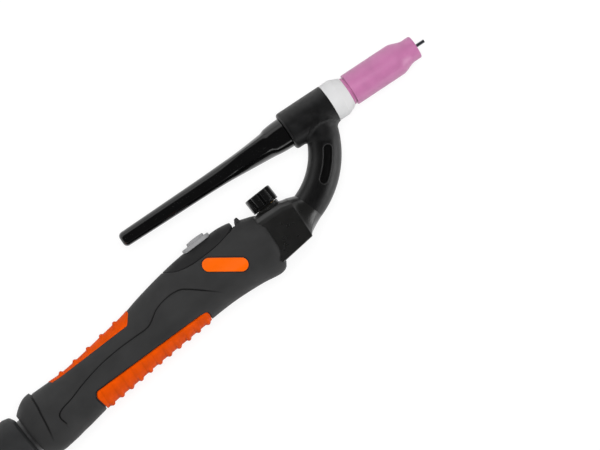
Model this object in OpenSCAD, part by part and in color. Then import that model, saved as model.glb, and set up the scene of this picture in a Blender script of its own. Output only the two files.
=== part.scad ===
// Water-cooled TIG torch with a gas valve, a flexible neck and a two-shell handle.
//
// The torch lies on its side. +X runs from the cable to the electrode tip, +Y towards the
// back cap and +Z up from the bench. Every module draws in torch axes, whose origin is the
// point on the head's axis where the rubber head meets the cup gasket. in_row() then moves
// the piece so that the origin lies under the middle of the whole torch.

/* [Electrode] */
// Diameter of the tungsten electrode
electrode_d = 2.0; // [1.6, 2.0, 2.4]
// Length of the tungsten electrode
electrode_l = 175; // [150:5:175]
// How far the electrode stands out of the cup
electrode_out = 6.2; // [4:0.2:12]

/* [Gas cup] */
// Length of the gas cup
cup_l = 47.4; // [44:0.2:60]
// Diameter of the cup's body
cup_d = 19.3; // [18.8:0.1:20]
// Outer diameter of the cup's mouth
cup_mouth_d = 14.1; // [13.6:0.1:16]
// Inner diameter of the cup's mouth
cup_bore_d = 11.0; // [9:0.5:12]

/* [Head] */
// Diameter of the rubber head
head_d = 23.4; // [23.2:0.1:26]
// Length of the rubber head
head_l = 29.8; // [28:0.2:32]
// Diameter of the white gasket
gasket_d = 23.2; // [22:0.1:24]
// Length of the white gasket
gasket_l = 12.2; // [11:0.2:14]

/* [Back cap] */
// Length of the back cap outside the head
cap_l = 112.8; // [105:0.2:120]
// Diameter of the cap's collar
cap_d = 17.9; // [17:0.1:19]
// Diameter of the cap near its tip
cap_tip_d = 9.0; // [8.4:0.1:10]
// Pitch of the cap's thread
cap_pitch = 1.0; // [0.8:0.1:1.25]

/* [Neck] */
// Diameter of the rubber neck
neck_d = 19.3; // [18.8:0.1:20]
// Radius of the neck's centre line
neck_bend_r = 50.2; // [49.8:0.1:50.6]
// Wall of the rubber neck
neck_wall = 2.0; // [1.6:0.1:2.2]

/* [Gas valve] */
// Diameter of the valve knob
knob_d = 17.2; // [16:0.1:18]
// Height of the valve knob
knob_h = 9.3; // [8:0.1:9.6]
// Number of grip grooves round the knob
knob_grooves = 8; // [6:1:12]
// Width of the valve housing
housing_w = 26; // [25:0.5:27]

/* [Handle] */
// Wall of the handle shells
wall = 2.4; // [2:0.1:2.6]
// Half the handle's width at its belly and at its tail
handle_half_w = 18.6; // [18:0.1:19]
// How pointed the flanks are, where 1 is an ellipse
flank = 1.1; // [1:0.05:1.2]
// Depth of the grip pockets
grip_depth = 1.8; // [1.2:0.1:2]
// Height of the grip ribs
rib_h = 1.1; // [0.6:0.1:1.2]
// Number of ribs on the lower grip
lower_ribs = 11; // [6:1:11]
// Number of ribs on the upper grip
upper_ribs = 5; // [3:1:5]

/* [Trigger] */
// Length of the trigger button
trigger_l = 18.4; // [17:0.2:19]
// Width of the trigger button
trigger_w = 10; // [9:0.2:11]
// Travel of the trigger button
trigger_travel = 1.2; // [0.8:0.1:1.4]

/* [Cable joint] */
// Diameter of the ball
ball_d = 30.4; // [30:0.1:30.4]
// Diameter of the neck behind the ball
ball_neck_d = 22.4; // [22:0.1:22.4]
// Outer diameter of the cable sleeve
sleeve_d = 33.4; // [32:0.1:34]
// Bore of the cable sleeve
cable_bore_d = 21; // [18:0.5:21.4]
// How far the handle's tail points down, in degrees
tail_drop = 5.5; // [4:0.5:7]

/* [Hidden] */
$fn = 64;
slack = 0.1; // between fixed pieces that nest
run = 0.05; // radial clearance of a running fit
big = 400;

// Neck: an arc about a point above the handle, angles in degrees below +X.
neck_c = [-60, 5];
neck_from = -25;
neck_to = -70;
block_from = -72;
neck_end = neck_c + neck_bend_r * [cos(neck_to), sin(neck_to)];
tube_holes = [[3.2, 0, 2.9], [-2.6, 3.5, 2.0], [-2.6, -3.5, 2.0]]; // outward, across, radius

// Head and nozzle end.
head_core_d = 16.4;
thread_d = 9.6;
cup_thread_d = 12.7;
collet_d = 3.8;
cup_x = gasket_l;
mouth_x = cup_x + cup_l;
tip_x = mouth_x + electrode_out;
cup_step = 1.7;
cup_shoulder_x = mouth_x - 14;
cup_throat_x = mouth_x - 5;
cap_x = -head_l - 0.2;
cap_end_x = cap_x - cap_l;
cap_seal_x = cap_x + 1.6;

// Gas valve.
knob_base = [-62.8, -29.2];
knob_lean = 4.6;
housing_front_x = -51;
housing_rear_x = -73;
housing_end_x = -86;
block_d = 17;
block_y = -45.5;
block_rear_x = -88;
block_drop = 0.5;
gland_d = 9;
stem_d = 4.4;
barb_l = 12.4;
barb_pitch = 2;

// Handle outlines: distance behind the handle's front edge, then height in torch axes.
front_x = -71;
handle_l = 163.8;
tail = [front_x - handle_l, -62.2];
top_line = [
    [0, -29.6], [3, -28.3], [7, -27.2], [16, -24.8], [25, -24.1], [47, -25.4], [65, -28.2],
    [83, -32.2], [96, -35.8], [111, -38.6], [125, -41.2], [138, -43.0], [151, -43.9],
    [handle_l, tail[1] + handle_half_w]
];
low_line = [
    [0, -62.8], [3, -65.2], [7, -65.9], [18, -64.7], [35, -64.3], [47, -65.1], [62, -66.9],
    [80, -68.9], [107, -71.6], [127, -74.0], [135, -75.6], [147, -78.2], [155, -80.1],
    [handle_l, tail[1] - handle_half_w]
];
side_line = [
    [0, -47], [29, -49], [54, -50.8], [79, -53.8], [104, -57.5], [129, -60.8], [149, -62.2],
    [handle_l, tail[1]]
];
half_width = [
    [0, 15.4], [3, 16.8], [8, 17.6], [20, handle_half_w - 0.2], [44, handle_half_w - 0.3], [74, 17.0],
    [109, 15.5], [129, 15.3], [147, 16.6], [handle_l, handle_half_w]
];
section_n = 32;
station_l = 6.5;

// Curve that parts the switch module from the shells, front to rear in torch axes.
module_front_x = -84.6;
module_seam = [
    [module_front_x, -26.0], [-86, -27.8], [-89.5, -29.6], [-98.4, -31.9], [-108, -33.0],
    [-117.3, -33.3], [-126.1, -31.9], [-134.2, -27.7]
];
pry_slot_w = 2.2;
tab_x = -80.6;
tab_w = 2;

// Grip outlines in torch axes.
upper_grip = [[-162.4, -30], [-162.4, -35.2], [-167, -41.9], [-221, -45.6], [-221, -30]];
lower_grip = [
    [-124.6, -90], [-124.4, -65.6], [-124.9, -62.2], [-127.2, -60.6], [-130, -60.7],
    [-200, -63.7], [-202.2, -64.4], [-203.4, -66.2], [-201.6, -90]
];
upper_rib_x = -172.2;
upper_rib_pitch = 10.2;
lower_rib_x = -127.4;
lower_rib_pitch = 7.05;

// Trigger and switch.
trigger_c = [-108.2, -24.75];
trigger_lean = 3.6;
trigger_proud = 1.4;
trigger_dome_h = 3.2;
switch_size = [20, 10, 6.4];
switch_top = -10.6; // below the trigger's seat
spring_d = 6.6;
spring_wire = 0.6;
spring_turns = 5;

// Side badge: a pill on each flank.
badge_c = [-101.8, -43.9];
badge_l = 26.4;
badge_w = 8;
badge_turn = -33.5;

// Screws that join the shells: position in torch axes.
screw_at = [[-101, -57.6], [-150, -42], [-206, -51]];
screw_d = 3;
screw_l = 20;
screw_head_d = 5.6;
boss_d = 7;

// Ball joint, measured along the tail's axis.
ball_s = 1.2;
rim_s = 11.6;
sleeve_s = 13.6;
sleeve_end_s = 55;
spigot_end_s = 26;
spigot_d = cable_bore_d + 0.8;
seat_from = -7;
seat_to = 4.6;
seat_d = 33.4;

// The torch's own box, in torch axes.
tail_axis = [-cos(tail_drop), -sin(tail_drop)];
tail_side = [-sin(tail_drop), cos(tail_drop)];
rear_chamfer = 1.2;
rear_low = tail + (sleeve_end_s - rear_chamfer) * tail_axis - sleeve_d / 2 * tail_side;
rear_high = tail + sleeve_end_s * tail_axis + (sleeve_d / 2 - rear_chamfer) * tail_side;
row_shift = [
    -(tip_x + rear_high[0]) / 2,
    -(head_d / 2 + rear_low[1]) / 2,
    handle_half_w
];

// ---- Functions ----

// Index of the span of stations p that holds x.
function span(p, x, i = 0) = i >= len(p) - 2 || x < p[i + 1][0] ? i : span(p, x, i + 1);

// Slope of the smooth curve at station i.
function slope(p, i) =
    let(a = max(i - 1, 0), b = min(i + 1, len(p) - 1))
    (p[b][1] - p[a][1]) / (p[b][0] - p[a][0]);

// Height at x of a smooth curve through stations p.
function smooth(p, x) =
    let(i = span(p, x), w = p[i + 1][0] - p[i][0], t = (x - p[i][0]) / w)
    (2 * pow(t, 3) - 3 * pow(t, 2) + 1) * p[i][1]
    + (pow(t, 3) - 2 * pow(t, 2) + t) * w * slope(p, i)
    + (3 * pow(t, 2) - 2 * pow(t, 3)) * p[i + 1][1]
    + (pow(t, 3) - pow(t, 2)) * w * slope(p, i + 1);

// Ring of points round the handle, u behind its front edge and d inside its skin.
function ring(u, d) =
    let(
        top = smooth(top_line, u) - d,
        low = smooth(low_line, u) + d,
        mid = smooth(side_line, u),
        half = smooth(half_width, u) - d
    )
    [for (k = [0:section_n - 1])
        let(a = 360 * k / section_n, c = cos(a), s = sin(a))
        [
            front_x - u,
            mid + sign(s) * pow(abs(s), flank) * (s > 0 ? top - mid : mid - low),
            sign(c) * pow(abs(c), flank) * half
        ]
    ];

// Radius that falls smoothly from a to b as t goes from 0 to 1.
function ease(a, b, t) = a + (b - a) * t * t * (3 - 2 * t);

// Unit vector along v.
function unit(v) = v / norm(v);

// Direction of a path of points at point i.
function along(p, i) = unit(p[min(i + 1, len(p) - 1)] - p[max(i - 1, 0)]);

// ---- Helpers ----

// Moves torch axes to the model's origin.
module in_row() {
    translate(row_shift) children();
}

// Draws along +X from x on the head's axis.
module on_head_axis(x) {
    translate([x, 0, 0]) rotate([0, 90, 0]) children();
}

// Draws along the valve's axis, up from under the knob.
module on_valve_axis(h = 0) {
    translate([knob_base[0], knob_base[1], 0])
        rotate([0, 0, knob_lean]) rotate([-90, 0, 0]) translate([0, 0, h]) children();
}

// Draws along the tail's axis, away from the handle.
module on_tail_axis(s = 0) {
    translate([tail[0], tail[1], 0])
        rotate([0, 0, tail_drop]) rotate([0, -90, 0]) translate([0, 0, s]) children();
}

// Draws on the trigger's seat, with +Z pressing outwards.
module on_trigger_seat(h = 0) {
    translate([trigger_c[0], trigger_c[1], 0])
        rotate([0, 0, trigger_lean]) rotate([-90, 0, 0]) translate([0, 0, h]) children();
}

// A length of the neck's arc with its children as the section.
module neck_arc(from, to) {
    translate([neck_c[0], neck_c[1], 0])
        rotate_extrude(angle = to - from, start = from, $fn = 96)
            translate([neck_bend_r, 0]) children();
}

// A tube from x = 0 to l.
module pipe(d, bore, l) {
    difference() {
        cylinder(d = d, h = l);
        translate([0, 0, -1]) cylinder(d = bore, h = l + 2);
    }
}

// A flat slot shape with round ends.
module stadium(l, w) {
    square([l - w, w], center = true);
    for (side = [-1, 1]) translate([side * (l - w) / 2, 0]) circle(d = w);
}

// A tube swept along points p.
module swept(p, r, sides) {
    points = [
        for (i = [0:len(p) - 1])
            let(d = along(p, i), a = unit(cross(d, [0.3, 0.1, 0.95])), b = cross(a, d))
            for (k = [0:sides - 1])
                p[i] + r * (cos(360 * k / sides) * a + sin(360 * k / sides) * b)
    ];
    last = (len(p) - 1) * sides;
    walls = [
        for (i = [0:len(p) - 2])
            for (k = [0:sides - 1])
                let(a = i * sides, m = (k + 1) % sides)
                [a + k, a + sides + k, a + sides + m, a + m]
    ];
    caps = [[for (k = [0:sides - 1]) k], [for (k = [sides - 1:-1:0]) last + k]];
    polyhedron(points, concat(walls, caps), convexity = 10);
}

// The smallest convex solid round the points.
module hull_of(points) {
    hull() polyhedron(points, [[for (k = [0:len(points) - 1]) k]]);
}

// The handle's body, d inside its skin, from u0 to u1 behind its front edge.
module handle_body(d = 0, u0 = 0, u1 = handle_l) {
    steps = max(1, ceil((u1 - u0) / station_l));
    for (i = [0:steps - 1]) {
        a = u0 + (u1 - u0) * i / steps;
        b = u0 + (u1 - u0) * (i + 1) / steps;
        hull_of(concat(ring(a, d), ring(b, d)));
    }
}

// A slab of the XY plane: children drawn flat and cut right through.
module through() {
    translate([0, 0, -big / 2]) linear_extrude(big) children();
}

// Flat outline of the switch module, grown by d along its seam.
module module_outline(d = 0) {
    polygon(concat(
        [[module_front_x + d, 0]],
        [for (p = module_seam) [p[0] + (p[0] > -86 ? d : 0), p[1] - d]],
        [[-134.2, 0]]
    ));
}

// ---- Nozzle end ----

module tungsten_electrode() {
    color([0.42, 0.43, 0.45]) in_row()
        on_head_axis(tip_x - electrode_l) {
            cylinder(d = electrode_d, h = electrode_l - 0.3);
            translate([0, 0, electrode_l - 0.3])
                cylinder(d1 = electrode_d, d2 = electrode_d - 0.5, h = 0.3);
        }
}

module gas_cup() {
    steps = 8;
    r = cup_d / 2;
    shoulder = cup_shoulder_x - cup_x;
    throat = cup_throat_x - cup_x;
    inner_r = r - 2.1;
    color([0.83, 0.51, 0.71]) in_row() on_head_axis(cup_x) rotate_extrude()
        polygon(concat(
            [[cup_thread_d / 2 + slack, 0], [r - 0.85, 0], [r - 0.85, cup_step]],
            [[r - 0.25, cup_step], [r, cup_step + 0.3]],
            [for (i = [0:steps])
                [ease(r, cup_mouth_d / 2, i / steps), shoulder + (throat - shoulder) * i / steps]],
            [[cup_mouth_d / 2, cup_l - 0.5], [cup_mouth_d / 2 - 0.5, cup_l]],
            [[cup_bore_d / 2 + 0.3, cup_l], [cup_bore_d / 2, cup_l - 0.4]],
            [[cup_bore_d / 2, throat], [inner_r, shoulder - 1], [inner_r, 10.5]],
            [[cup_thread_d / 2 + slack, 9.5]]
        ));
}

module collet() {
    color([0.78, 0.47, 0.3]) in_row() difference() {
        on_head_axis(-20.9) pipe(collet_d, electrode_d + 2 * run, 45.4);
        for (turn = [0, 90])
            on_head_axis(12) rotate([0, 0, turn])
                translate([-collet_d, -0.2, 0]) cube([2 * collet_d, 0.4, 13]);
    }
}

module collet_body() {
    front = 27.5;
    color([0.8, 0.5, 0.33]) in_row() difference() {
        union() {
            on_head_axis(-12) cylinder(d = thread_d, h = 24.3);
            on_head_axis(gasket_l) cylinder(d = cup_thread_d, h = 9.2);
            on_head_axis(gasket_l + 9.2) cylinder(d1 = 10.4, d2 = 8.6, h = front - gasket_l - 9.2);
        }
        on_head_axis(-13) cylinder(d = collet_d + 2 * slack, h = front + 11);
        on_head_axis(front - 3) cylinder(d = electrode_d + 0.7, h = 4);
        for (turn = [45:90:315])
            on_head_axis(23) rotate([0, 0, turn]) rotate([0, 90, 0]) cylinder(d = 1.6, h = 10);
    }
}

module cup_gasket() {
    nose = 5.5;
    color([0.9, 0.9, 0.89]) in_row() on_head_axis(0) rotate_extrude()
        polygon([
            [cup_thread_d / 2 + slack, 0], [gasket_d / 2, 0], [gasket_d / 2, gasket_l - nose],
            [gasket_d / 2 - 2.4, gasket_l], [cup_thread_d / 2 + slack, gasket_l]
        ]);
}

// ---- Head ----

module head_core_shape(d) {
    on_head_axis(-head_l + 2 - d) cylinder(d = head_core_d + 2 * d, h = head_l - 2 + d);
    neck_arc(neck_from, -4) circle(r = 7 + d);
}

module head_core() {
    color([0.76, 0.6, 0.3]) in_row() difference() {
        head_core_shape(0);
        on_head_axis(-head_l) cylinder(d = 11, h = 16);
        on_head_axis(-head_l) cylinder(d = thread_d + 2 * slack, h = head_l + 1);
        on_head_axis(-head_l + 1.9) cylinder(d = 15.4, h = 1.6);
        for (t = tube_holes)
            neck_arc(neck_from - 1, -12) translate([t[0], t[1]]) circle(r = t[2] - 0.7);
    }
}

module head_rubber() {
    r = head_d / 2;
    round_r = 3;
    color([0.13, 0.13, 0.13]) in_row() difference() {
        union() {
            on_head_axis(-head_l) rotate_extrude() {
                translate([0, round_r]) square([r, head_l - round_r]);
                square([r - round_r, head_l - round_r]);
                translate([r - round_r, round_r]) circle(r = round_r, $fn = 48);
            }
            neck_arc(neck_from, -6) circle(d = neck_d);
        }
        head_core_shape(slack);
        on_head_axis(-head_l - 1) cylinder(d = 15.4, h = 4);
    }
}

// ---- Back cap ----

module back_cap() {
    r = cap_d / 2;
    tip_r = cap_tip_d / 2;
    waist = 57;
    bore = electrode_d / 2 + 0.6;
    color([0.05, 0.05, 0.05]) in_row() on_head_axis(cap_x) mirror([0, 0, 1]) rotate_extrude()
        polygon(concat(
            [[bore, -9], [5.2, -9], [5.2, -2.4], [5.8, -2.4], [5.8, 0], [r, 0], [r, 5.5]],
            [[r - 0.5, 8.5], [r - 1.6, 14.5]],
            [for (i = [1:6])
                let(t = i / 6)
                [tip_r + 0.75 + (r - 1.6 - tip_r - 0.75) * pow(1 - t, 1.7), 14.5 + (waist - 14.5) * t]],
            [[tip_r, cap_l - 3.6], [tip_r - 0.5, cap_l - 1.6], [tip_r - 1.5, cap_l - 0.4]],
            [[tip_r - 2.6, cap_l], [0, cap_l], [0, cap_l - 3], [bore, cap_l - 4]]
        ));
}

module back_cap_seal() {
    color([0.1, 0.1, 0.1]) in_row() on_head_axis(cap_seal_x)
        rotate_extrude() translate([6.72, 0]) circle(r = 0.9, $fn = 32);
}

// ---- Neck ----

module neck_rubber() {
    color([0.13, 0.13, 0.13]) in_row() neck_arc(neck_to, neck_from) difference() {
        circle(d = neck_d);
        circle(d = neck_d - 2 * neck_wall);
    }
}

// One of the tubes that run through the neck.
module neck_pipe(i) {
    hole = tube_holes[i];
    in_row() neck_arc(block_from, neck_from) translate([hole[0], hole[1]]) difference() {
        circle(r = hole[2]);
        circle(r = hole[2] - 0.7);
    }
}

module return_tube() {
    color([0.8, 0.5, 0.33]) neck_pipe(0);
}

module gas_tube() {
    color([0.8, 0.5, 0.33]) neck_pipe(1);
}

module water_tube() {
    color([0.8, 0.5, 0.33]) neck_pipe(2);
}

// ---- Gas valve ----

// Section of the valve housing: rounded over the top, square below.
module housing_section(x, top, low, w, d) {
    r = 11;
    half = w / 2 + d;
    translate([x, 0, 0]) rotate([90, 0, 90]) linear_extrude(0.2) {
        translate([low - d, -half]) square([top - low - r + d, 2 * half]);
        for (side = [-1, 1])
            translate([top + d - r, side * (half - r)]) circle(r = r, $fn = 48);
        translate([top + d - r, -half + r]) square([r, 2 * (half - r)]);
    }
}

module housing_block(d = 0) {
    hull() {
        housing_section(housing_front_x - 0.2, -30.6, -57.9, housing_w - 1, d);
        housing_section(housing_rear_x, -30.4, -61.2, housing_w, d);
    }
}

module housing_tail(d = 0) {
    hull() {
        housing_section(housing_rear_x, -31.4, -60.2, housing_w - 2, d);
        housing_section(housing_end_x, -31.4, -59.8, housing_w - 3, d);
    }
}

// Outer shape of the brass block, grown by d.
module block_shape(d) {
    neck_arc(-84, block_from) circle(r = 7 + d);
    translate([block_rear_x - d, block_y, 0]) rotate([0, 90, 0])
        cylinder(d = block_d + 2 * d, h = housing_front_x - block_rear_x - 1 + d);
}

module valve_housing() {
    color([0.16, 0.16, 0.16]) in_row() difference() {
        union() {
            hull() {
                neck_arc(neck_to - 0.2, neck_to) circle(d = neck_d, $fn = 48);
                housing_section(housing_front_x - 0.2, -30.6, -57.9, housing_w - 1, 0);
            }
            housing_block();
            housing_tail();
            on_valve_axis(-6) cylinder(d = 12.4, h = 5.6);
        }
        block_shape(slack);
        neck_arc(block_from - 1, neck_to + 1) circle(d = neck_d - 2 * neck_wall);
        on_valve_axis(-12) cylinder(d = gland_d + 2 * slack, h = 20);
    }
}

module valve_block() {
    color([0.76, 0.6, 0.3]) in_row() difference() {
        block_shape(0);
        on_valve_axis(-11.4) cylinder(d = gland_d + 2 * slack, h = 20);
        on_valve_axis(-24) cylinder(d = stem_d - 0.8, h = 14);
        for (t = tube_holes)
            neck_arc(-80, block_from + 1) translate([t[0], t[1]]) circle(r = t[2] - 0.7);
        for (p = [[-1, 5, 2.05], [-1, -5, 2.05], [-5.2, 0, 3.05]])
            translate([block_rear_x - 1, block_y + p[0], p[1]]) rotate([0, 90, 0])
                cylinder(r = p[2], h = 7);
    }
}

module valve_gland() {
    color([0.78, 0.64, 0.34]) in_row() difference() {
        on_valve_axis(-11.3) union() {
            cylinder(d = gland_d, h = 11);
            translate([0, 0, 10.9]) cylinder(d = 10.6, h = 1.1, $fn = 6);
        }
        on_valve_axis(-12) cylinder(d = stem_d + 2 * run, h = 20);
        on_valve_axis(-6) rotate_extrude() translate([stem_d / 2 + 0.95, 0])
            circle(r = 0.95, $fn = 32);
    }
}

module valve_seal() {
    color([0.1, 0.1, 0.1]) in_row() on_valve_axis(-6)
        rotate_extrude() translate([stem_d / 2 + 0.92, 0]) circle(r = 0.87, $fn = 32);
}

module valve_stem() {
    color([0.8, 0.68, 0.4]) in_row() {
        on_valve_axis(-12.6) cylinder(d1 = 1.6, d2 = stem_d - 1, h = 1.6);
        on_valve_axis(-11) cylinder(d = stem_d, h = 16);
    }
}

module valve_knob() {
    groove_d = 2;
    color([0.04, 0.04, 0.04]) in_row() on_valve_axis() difference() {
        union() {
            translate([0, 0, 1.4]) cylinder(d = knob_d, h = knob_h - 2);
            translate([0, 0, 0.2]) cylinder(d = knob_d - 0.6, h = 1.4);
            translate([0, 0, knob_h - 0.6]) cylinder(d1 = knob_d, d2 = knob_d - 1.2, h = 0.6);
        }
        for (i = [0:knob_grooves - 1])
            rotate([0, 0, 360 * (i + 0.5) / knob_grooves])
                translate([knob_d / 2 + 0.45, 0, 1.6]) cylinder(d = groove_d, h = knob_h, $fn = 24);
        translate([0, 0, -1]) cylinder(d = stem_d + 0.02, h = 6.1);
        cylinder(d = 12.8, h = 2.6);
    }
}

// ---- Connections behind the valve block ----

// A hose barb, drawn along its own axis.
module barb(r, bore) {
    difference() {
        union() {
            cylinder(r = r, h = barb_l);
            for (i = [1:3])
                translate([0, 0, barb_l - barb_pitch * i])
                    cylinder(r1 = r + 0.5, r2 = r, h = barb_pitch);
        }
        translate([0, 0, -1]) cylinder(r = bore, h = 16);
    }
}

module at_block_port(dy, z) {
    translate([block_rear_x + 6, block_y + dy, z]) rotate([0, -90, 0]) children();
}

module gas_barb() {
    color([0.76, 0.6, 0.3]) in_row() at_block_port(-1, 5) barb(1.95, 1.1);
}

module water_barb() {
    color([0.76, 0.6, 0.3]) in_row() at_block_port(-1, -5) barb(1.95, 1.1);
}

module power_stud() {
    color([0.76, 0.6, 0.3]) in_row() at_block_port(-5.2, 0) difference() {
        union() {
            cylinder(r = 2.95, h = 14.5);
            translate([0, 0, 6.2]) cylinder(d = 8.4, h = 3, $fn = 6);
        }
        translate([0, 0, -1]) cylinder(r = 1.6, h = 17);
    }
}

// ---- Handle ----

// Domed tail behind the handle's last section.
module tail_dome() {
    r = handle_half_w;
    on_tail_axis() rotate_extrude($fn = section_n * 2) polygon([
        [0, -2], [r - 0.1, -2], [r, 0], [r - 0.2, 2.6], [r - 0.9, 5.6], [r - 2.2, 8.6],
        [r - 3.7, 10.8], [r - 4.4, rim_s], [0, rim_s]
    ]);
}

// Room for the ball and its seat.
module ball_room() {
    on_tail_axis(seat_from) cylinder(d = seat_d + 2 * slack, h = seat_to - seat_from);
    on_tail_axis(ball_s) sphere(d = ball_d + 0.9);
    on_tail_axis(5) cylinder(r = 13.45, h = 4.2);
    on_tail_axis(9) cylinder(r1 = 13.45, r2 = 14.1, h = rim_s - 9 + 0.1);
    on_tail_axis(-16) cylinder(r = 14, h = 12);
}

// A boss on the inner face, tall enough to reach the mid plane, cut to the skin.
module bosses() {
    intersection() {
        handle_body(0.4);
        for (p = screw_at)
            translate([p[0], p[1], -30]) cylinder(d = boss_d, h = 60, $fn = 24);
    }
}

module screw_holes() {
    for (p = screw_at) translate([p[0], p[1], 0]) {
        translate([0, 0, -8.4]) cylinder(d = screw_d + 0.24, h = 18.6, $fn = 24);
        translate([0, 0, -40]) cylinder(d = screw_head_d + 0.6, h = 32, $fn = 24);
    }
}

// A pill on the flanks, grown by d.
module badge_area(d = 0) {
    translate([badge_c[0], badge_c[1], 0]) rotate([0, 0, badge_turn]) through()
        stadium(badge_l + 2 * d, badge_w + 2 * d, $fn = 32);
}

module handle_hollow() {
    difference() {
        union() {
            difference() {
                union() {
                    handle_body();
                    tail_dome();
                }
                handle_body(wall, 5, handle_l);
            }
            bosses();
            translate([tab_x - tab_w / 2, -29, -4]) cube([tab_w, 3.6, 8]);
        }
        ball_room();
        housing_block(slack);
        housing_tail(slack);
        through() module_outline(slack);
        translate([module_front_x - 1, -28.2, -12]) cube([pry_slot_w + 1, 10, 24]);
        screw_holes();
        difference() {
            intersection() {
                handle_body(-2, 88, 152);
                through() polygon(upper_grip);
            }
            handle_body(grip_depth, 88, 152);
        }
        difference() {
            intersection() {
                handle_body(-2, 52, 134);
                through() polygon(lower_grip);
            }
            handle_body(grip_depth, 52, 134);
        }
        difference() {
            badge_area(slack);
            handle_body(0.7, 10, 54);
        }
    }
}

module left_shell() {
    color([0.2, 0.2, 0.2]) in_row() intersection() {
        handle_hollow();
        translate([-big, -big / 2, 0]) cube(big);
    }
}

module right_shell() {
    color([0.2, 0.2, 0.2]) in_row() intersection() {
        handle_hollow();
        translate([-big, -big / 2, -big]) cube(big);
    }
}

module shell_screws() {
    color([0.25, 0.25, 0.26]) in_row() for (p = screw_at) translate([p[0], p[1], -8]) {
        cylinder(d = screw_d, h = 18);
        difference() {
            translate([0, 0, -2.2]) cylinder(d = screw_head_d, h = 2.2);
            for (turn = [0, 90]) rotate([0, 0, turn])
                translate([-1.6, -0.3, -2.3]) cube([3.2, 0.6, 1.2]);
        }
    }
}

// One rib of a grip, standing out of the skin at x.
module rib(x, w, h) {
    u = front_x - x;
    hull_of(concat(ring(u - w, 0.6), ring(u - w / 3, -h), ring(u + w / 3, -h), ring(u + w, 0.6)));
}

module upper_grip_pad() {
    color([1.0, 0.37, 0.02]) in_row() difference() {
        intersection() {
            union() {
                handle_body(0, 88, 152);
                for (i = [0:upper_ribs - 1]) rib(upper_rib_x - i * upper_rib_pitch, 1.3, rib_h);
            }
            through() offset(delta = -slack) polygon(upper_grip);
        }
        handle_body(grip_depth - slack, 80, 160);
    }
}

module lower_grip_pad() {
    color([1.0, 0.37, 0.02]) in_row() difference() {
        intersection() {
            union() {
                handle_body(0, 52, 134);
                for (i = [0:lower_ribs - 1]) rib(lower_rib_x - i * lower_rib_pitch, 2.2, rib_h);
            }
            through() offset(delta = -slack) polygon(lower_grip);
        }
        handle_body(grip_depth - slack, 44, 142);
    }
}

// A badge let into the skin of both flanks.
module badges() {
    difference() {
        intersection() {
            handle_body(-0.1, 12, 50);
            badge_area();
        }
        handle_body(0.6, 10, 54);
    }
}

module left_badge() {
    color([1.0, 0.4, 0.0]) in_row() intersection() {
        badges();
        translate([-big, -big / 2, 0]) cube(big);
    }
}

module right_badge() {
    color([1.0, 0.4, 0.0]) in_row() intersection() {
        badges();
        translate([-big, -big / 2, -big]) cube(big);
    }
}

// ---- Trigger ----

module switch_module() {
    cage = [switch_size[0] + 3, switch_size[2] + 3.2];
    color([0.19, 0.19, 0.19]) in_row() difference() {
        union() {
            difference() {
                intersection() {
                    handle_body(0, 12, 64);
                    through() module_outline();
                }
                handle_body(wall, 14, 62);
            }
            intersection() {
                on_trigger_seat(-21) linear_extrude(19.5) square(cage, center = true);
                handle_body(1, 12, 64);
            }
        }
        on_trigger_seat(-3.4) linear_extrude(10)
            stadium(trigger_l + 0.6, trigger_w + 0.6, $fn = 32);
        on_trigger_seat(-8.3) cylinder(d = spring_d + 0.8, h = 6, $fn = 32);
        on_trigger_seat(-12) cylinder(d = 3.6, h = 6, $fn = 32);
        on_trigger_seat(-25) linear_extrude(25 + switch_top)
            square([switch_size[0] + 2 * slack, switch_size[2] + 2 * slack], center = true);
    }
}

module trigger_button() {
    dome_r = 14;
    color([0.66, 0.67, 0.68]) in_row() {
        on_trigger_seat(-1.8) linear_extrude(1.8 + trigger_proud)
            stadium(trigger_l, trigger_w);
        intersection() {
            on_trigger_seat(0) linear_extrude(trigger_dome_h)
                stadium(trigger_l - 5.6, trigger_w - 2);
            on_trigger_seat(trigger_dome_h - dome_r) rotate([90, 0, 0])
                cylinder(r = dome_r, h = trigger_w, center = true);
        }
        on_trigger_seat(switch_top + 1.3) cylinder(d = 3, h = -switch_top - 2);
    }
}

module trigger_spring() {
    coil_r = (spring_d - spring_wire) / 2;
    low = -8.3 + spring_wire / 2 + 0.02;
    high = -1.8 - spring_wire / 2 - 0.02;
    steps = 12 * spring_turns;
    color([0.7, 0.7, 0.72]) in_row() on_trigger_seat() swept([
        for (i = [0:steps])
            let(a = 360 * i / 12)
            [coil_r * cos(a), coil_r * sin(a), low + (high - low) * i / steps]
    ], spring_wire / 2, 6);
}

module microswitch() {
    color([0.08, 0.08, 0.09]) in_row() difference() {
        union() {
            on_trigger_seat(switch_top - switch_size[1])
                translate([-switch_size[0] / 2, -switch_size[2] / 2, 0])
                    cube([switch_size[0], switch_size[2], switch_size[1] - 0.05]);
            for (x = [-8, 0]) on_trigger_seat(switch_top - switch_size[1] - 3.6)
                translate([x - 0.25, -1.4, 0]) cube([0.5, 2.8, 4]);
        }
        for (x = [-4.75, 4.75]) on_trigger_seat(switch_top - 7) translate([x, 5, 0])
            rotate([90, 0, 0]) cylinder(d = 2.3, h = 10);
        on_trigger_seat(switch_top - 2) cylinder(d = 2.4, h = 3);
    }
}

module switch_plunger() {
    color([0.85, 0.2, 0.15]) in_row() on_trigger_seat(switch_top - 0.6) cylinder(d = 2.2, h = 1.88);
}

// Route of a lead from the microswitch to the tail, z across the handle.
function lead_route(x, z) = [
    [x, -49.3, z * 0.3], [x - 1, -52, z * 0.6], [x - 5, -54, z], [-128, -54.6, z],
    [-140, -54.6, z], [-152, -55.2, z], [-164, -56.6, z], [-176, -58, z], [-188, -59, z],
    [-196, -59.6, z]
];

module switch_leads() {
    color([0.7, 0.1, 0.1]) in_row() {
        swept(lead_route(-106.6, 3), 0.8, 8);
        swept(lead_route(-114.6, -3), 0.8, 8);
    }
}

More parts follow.
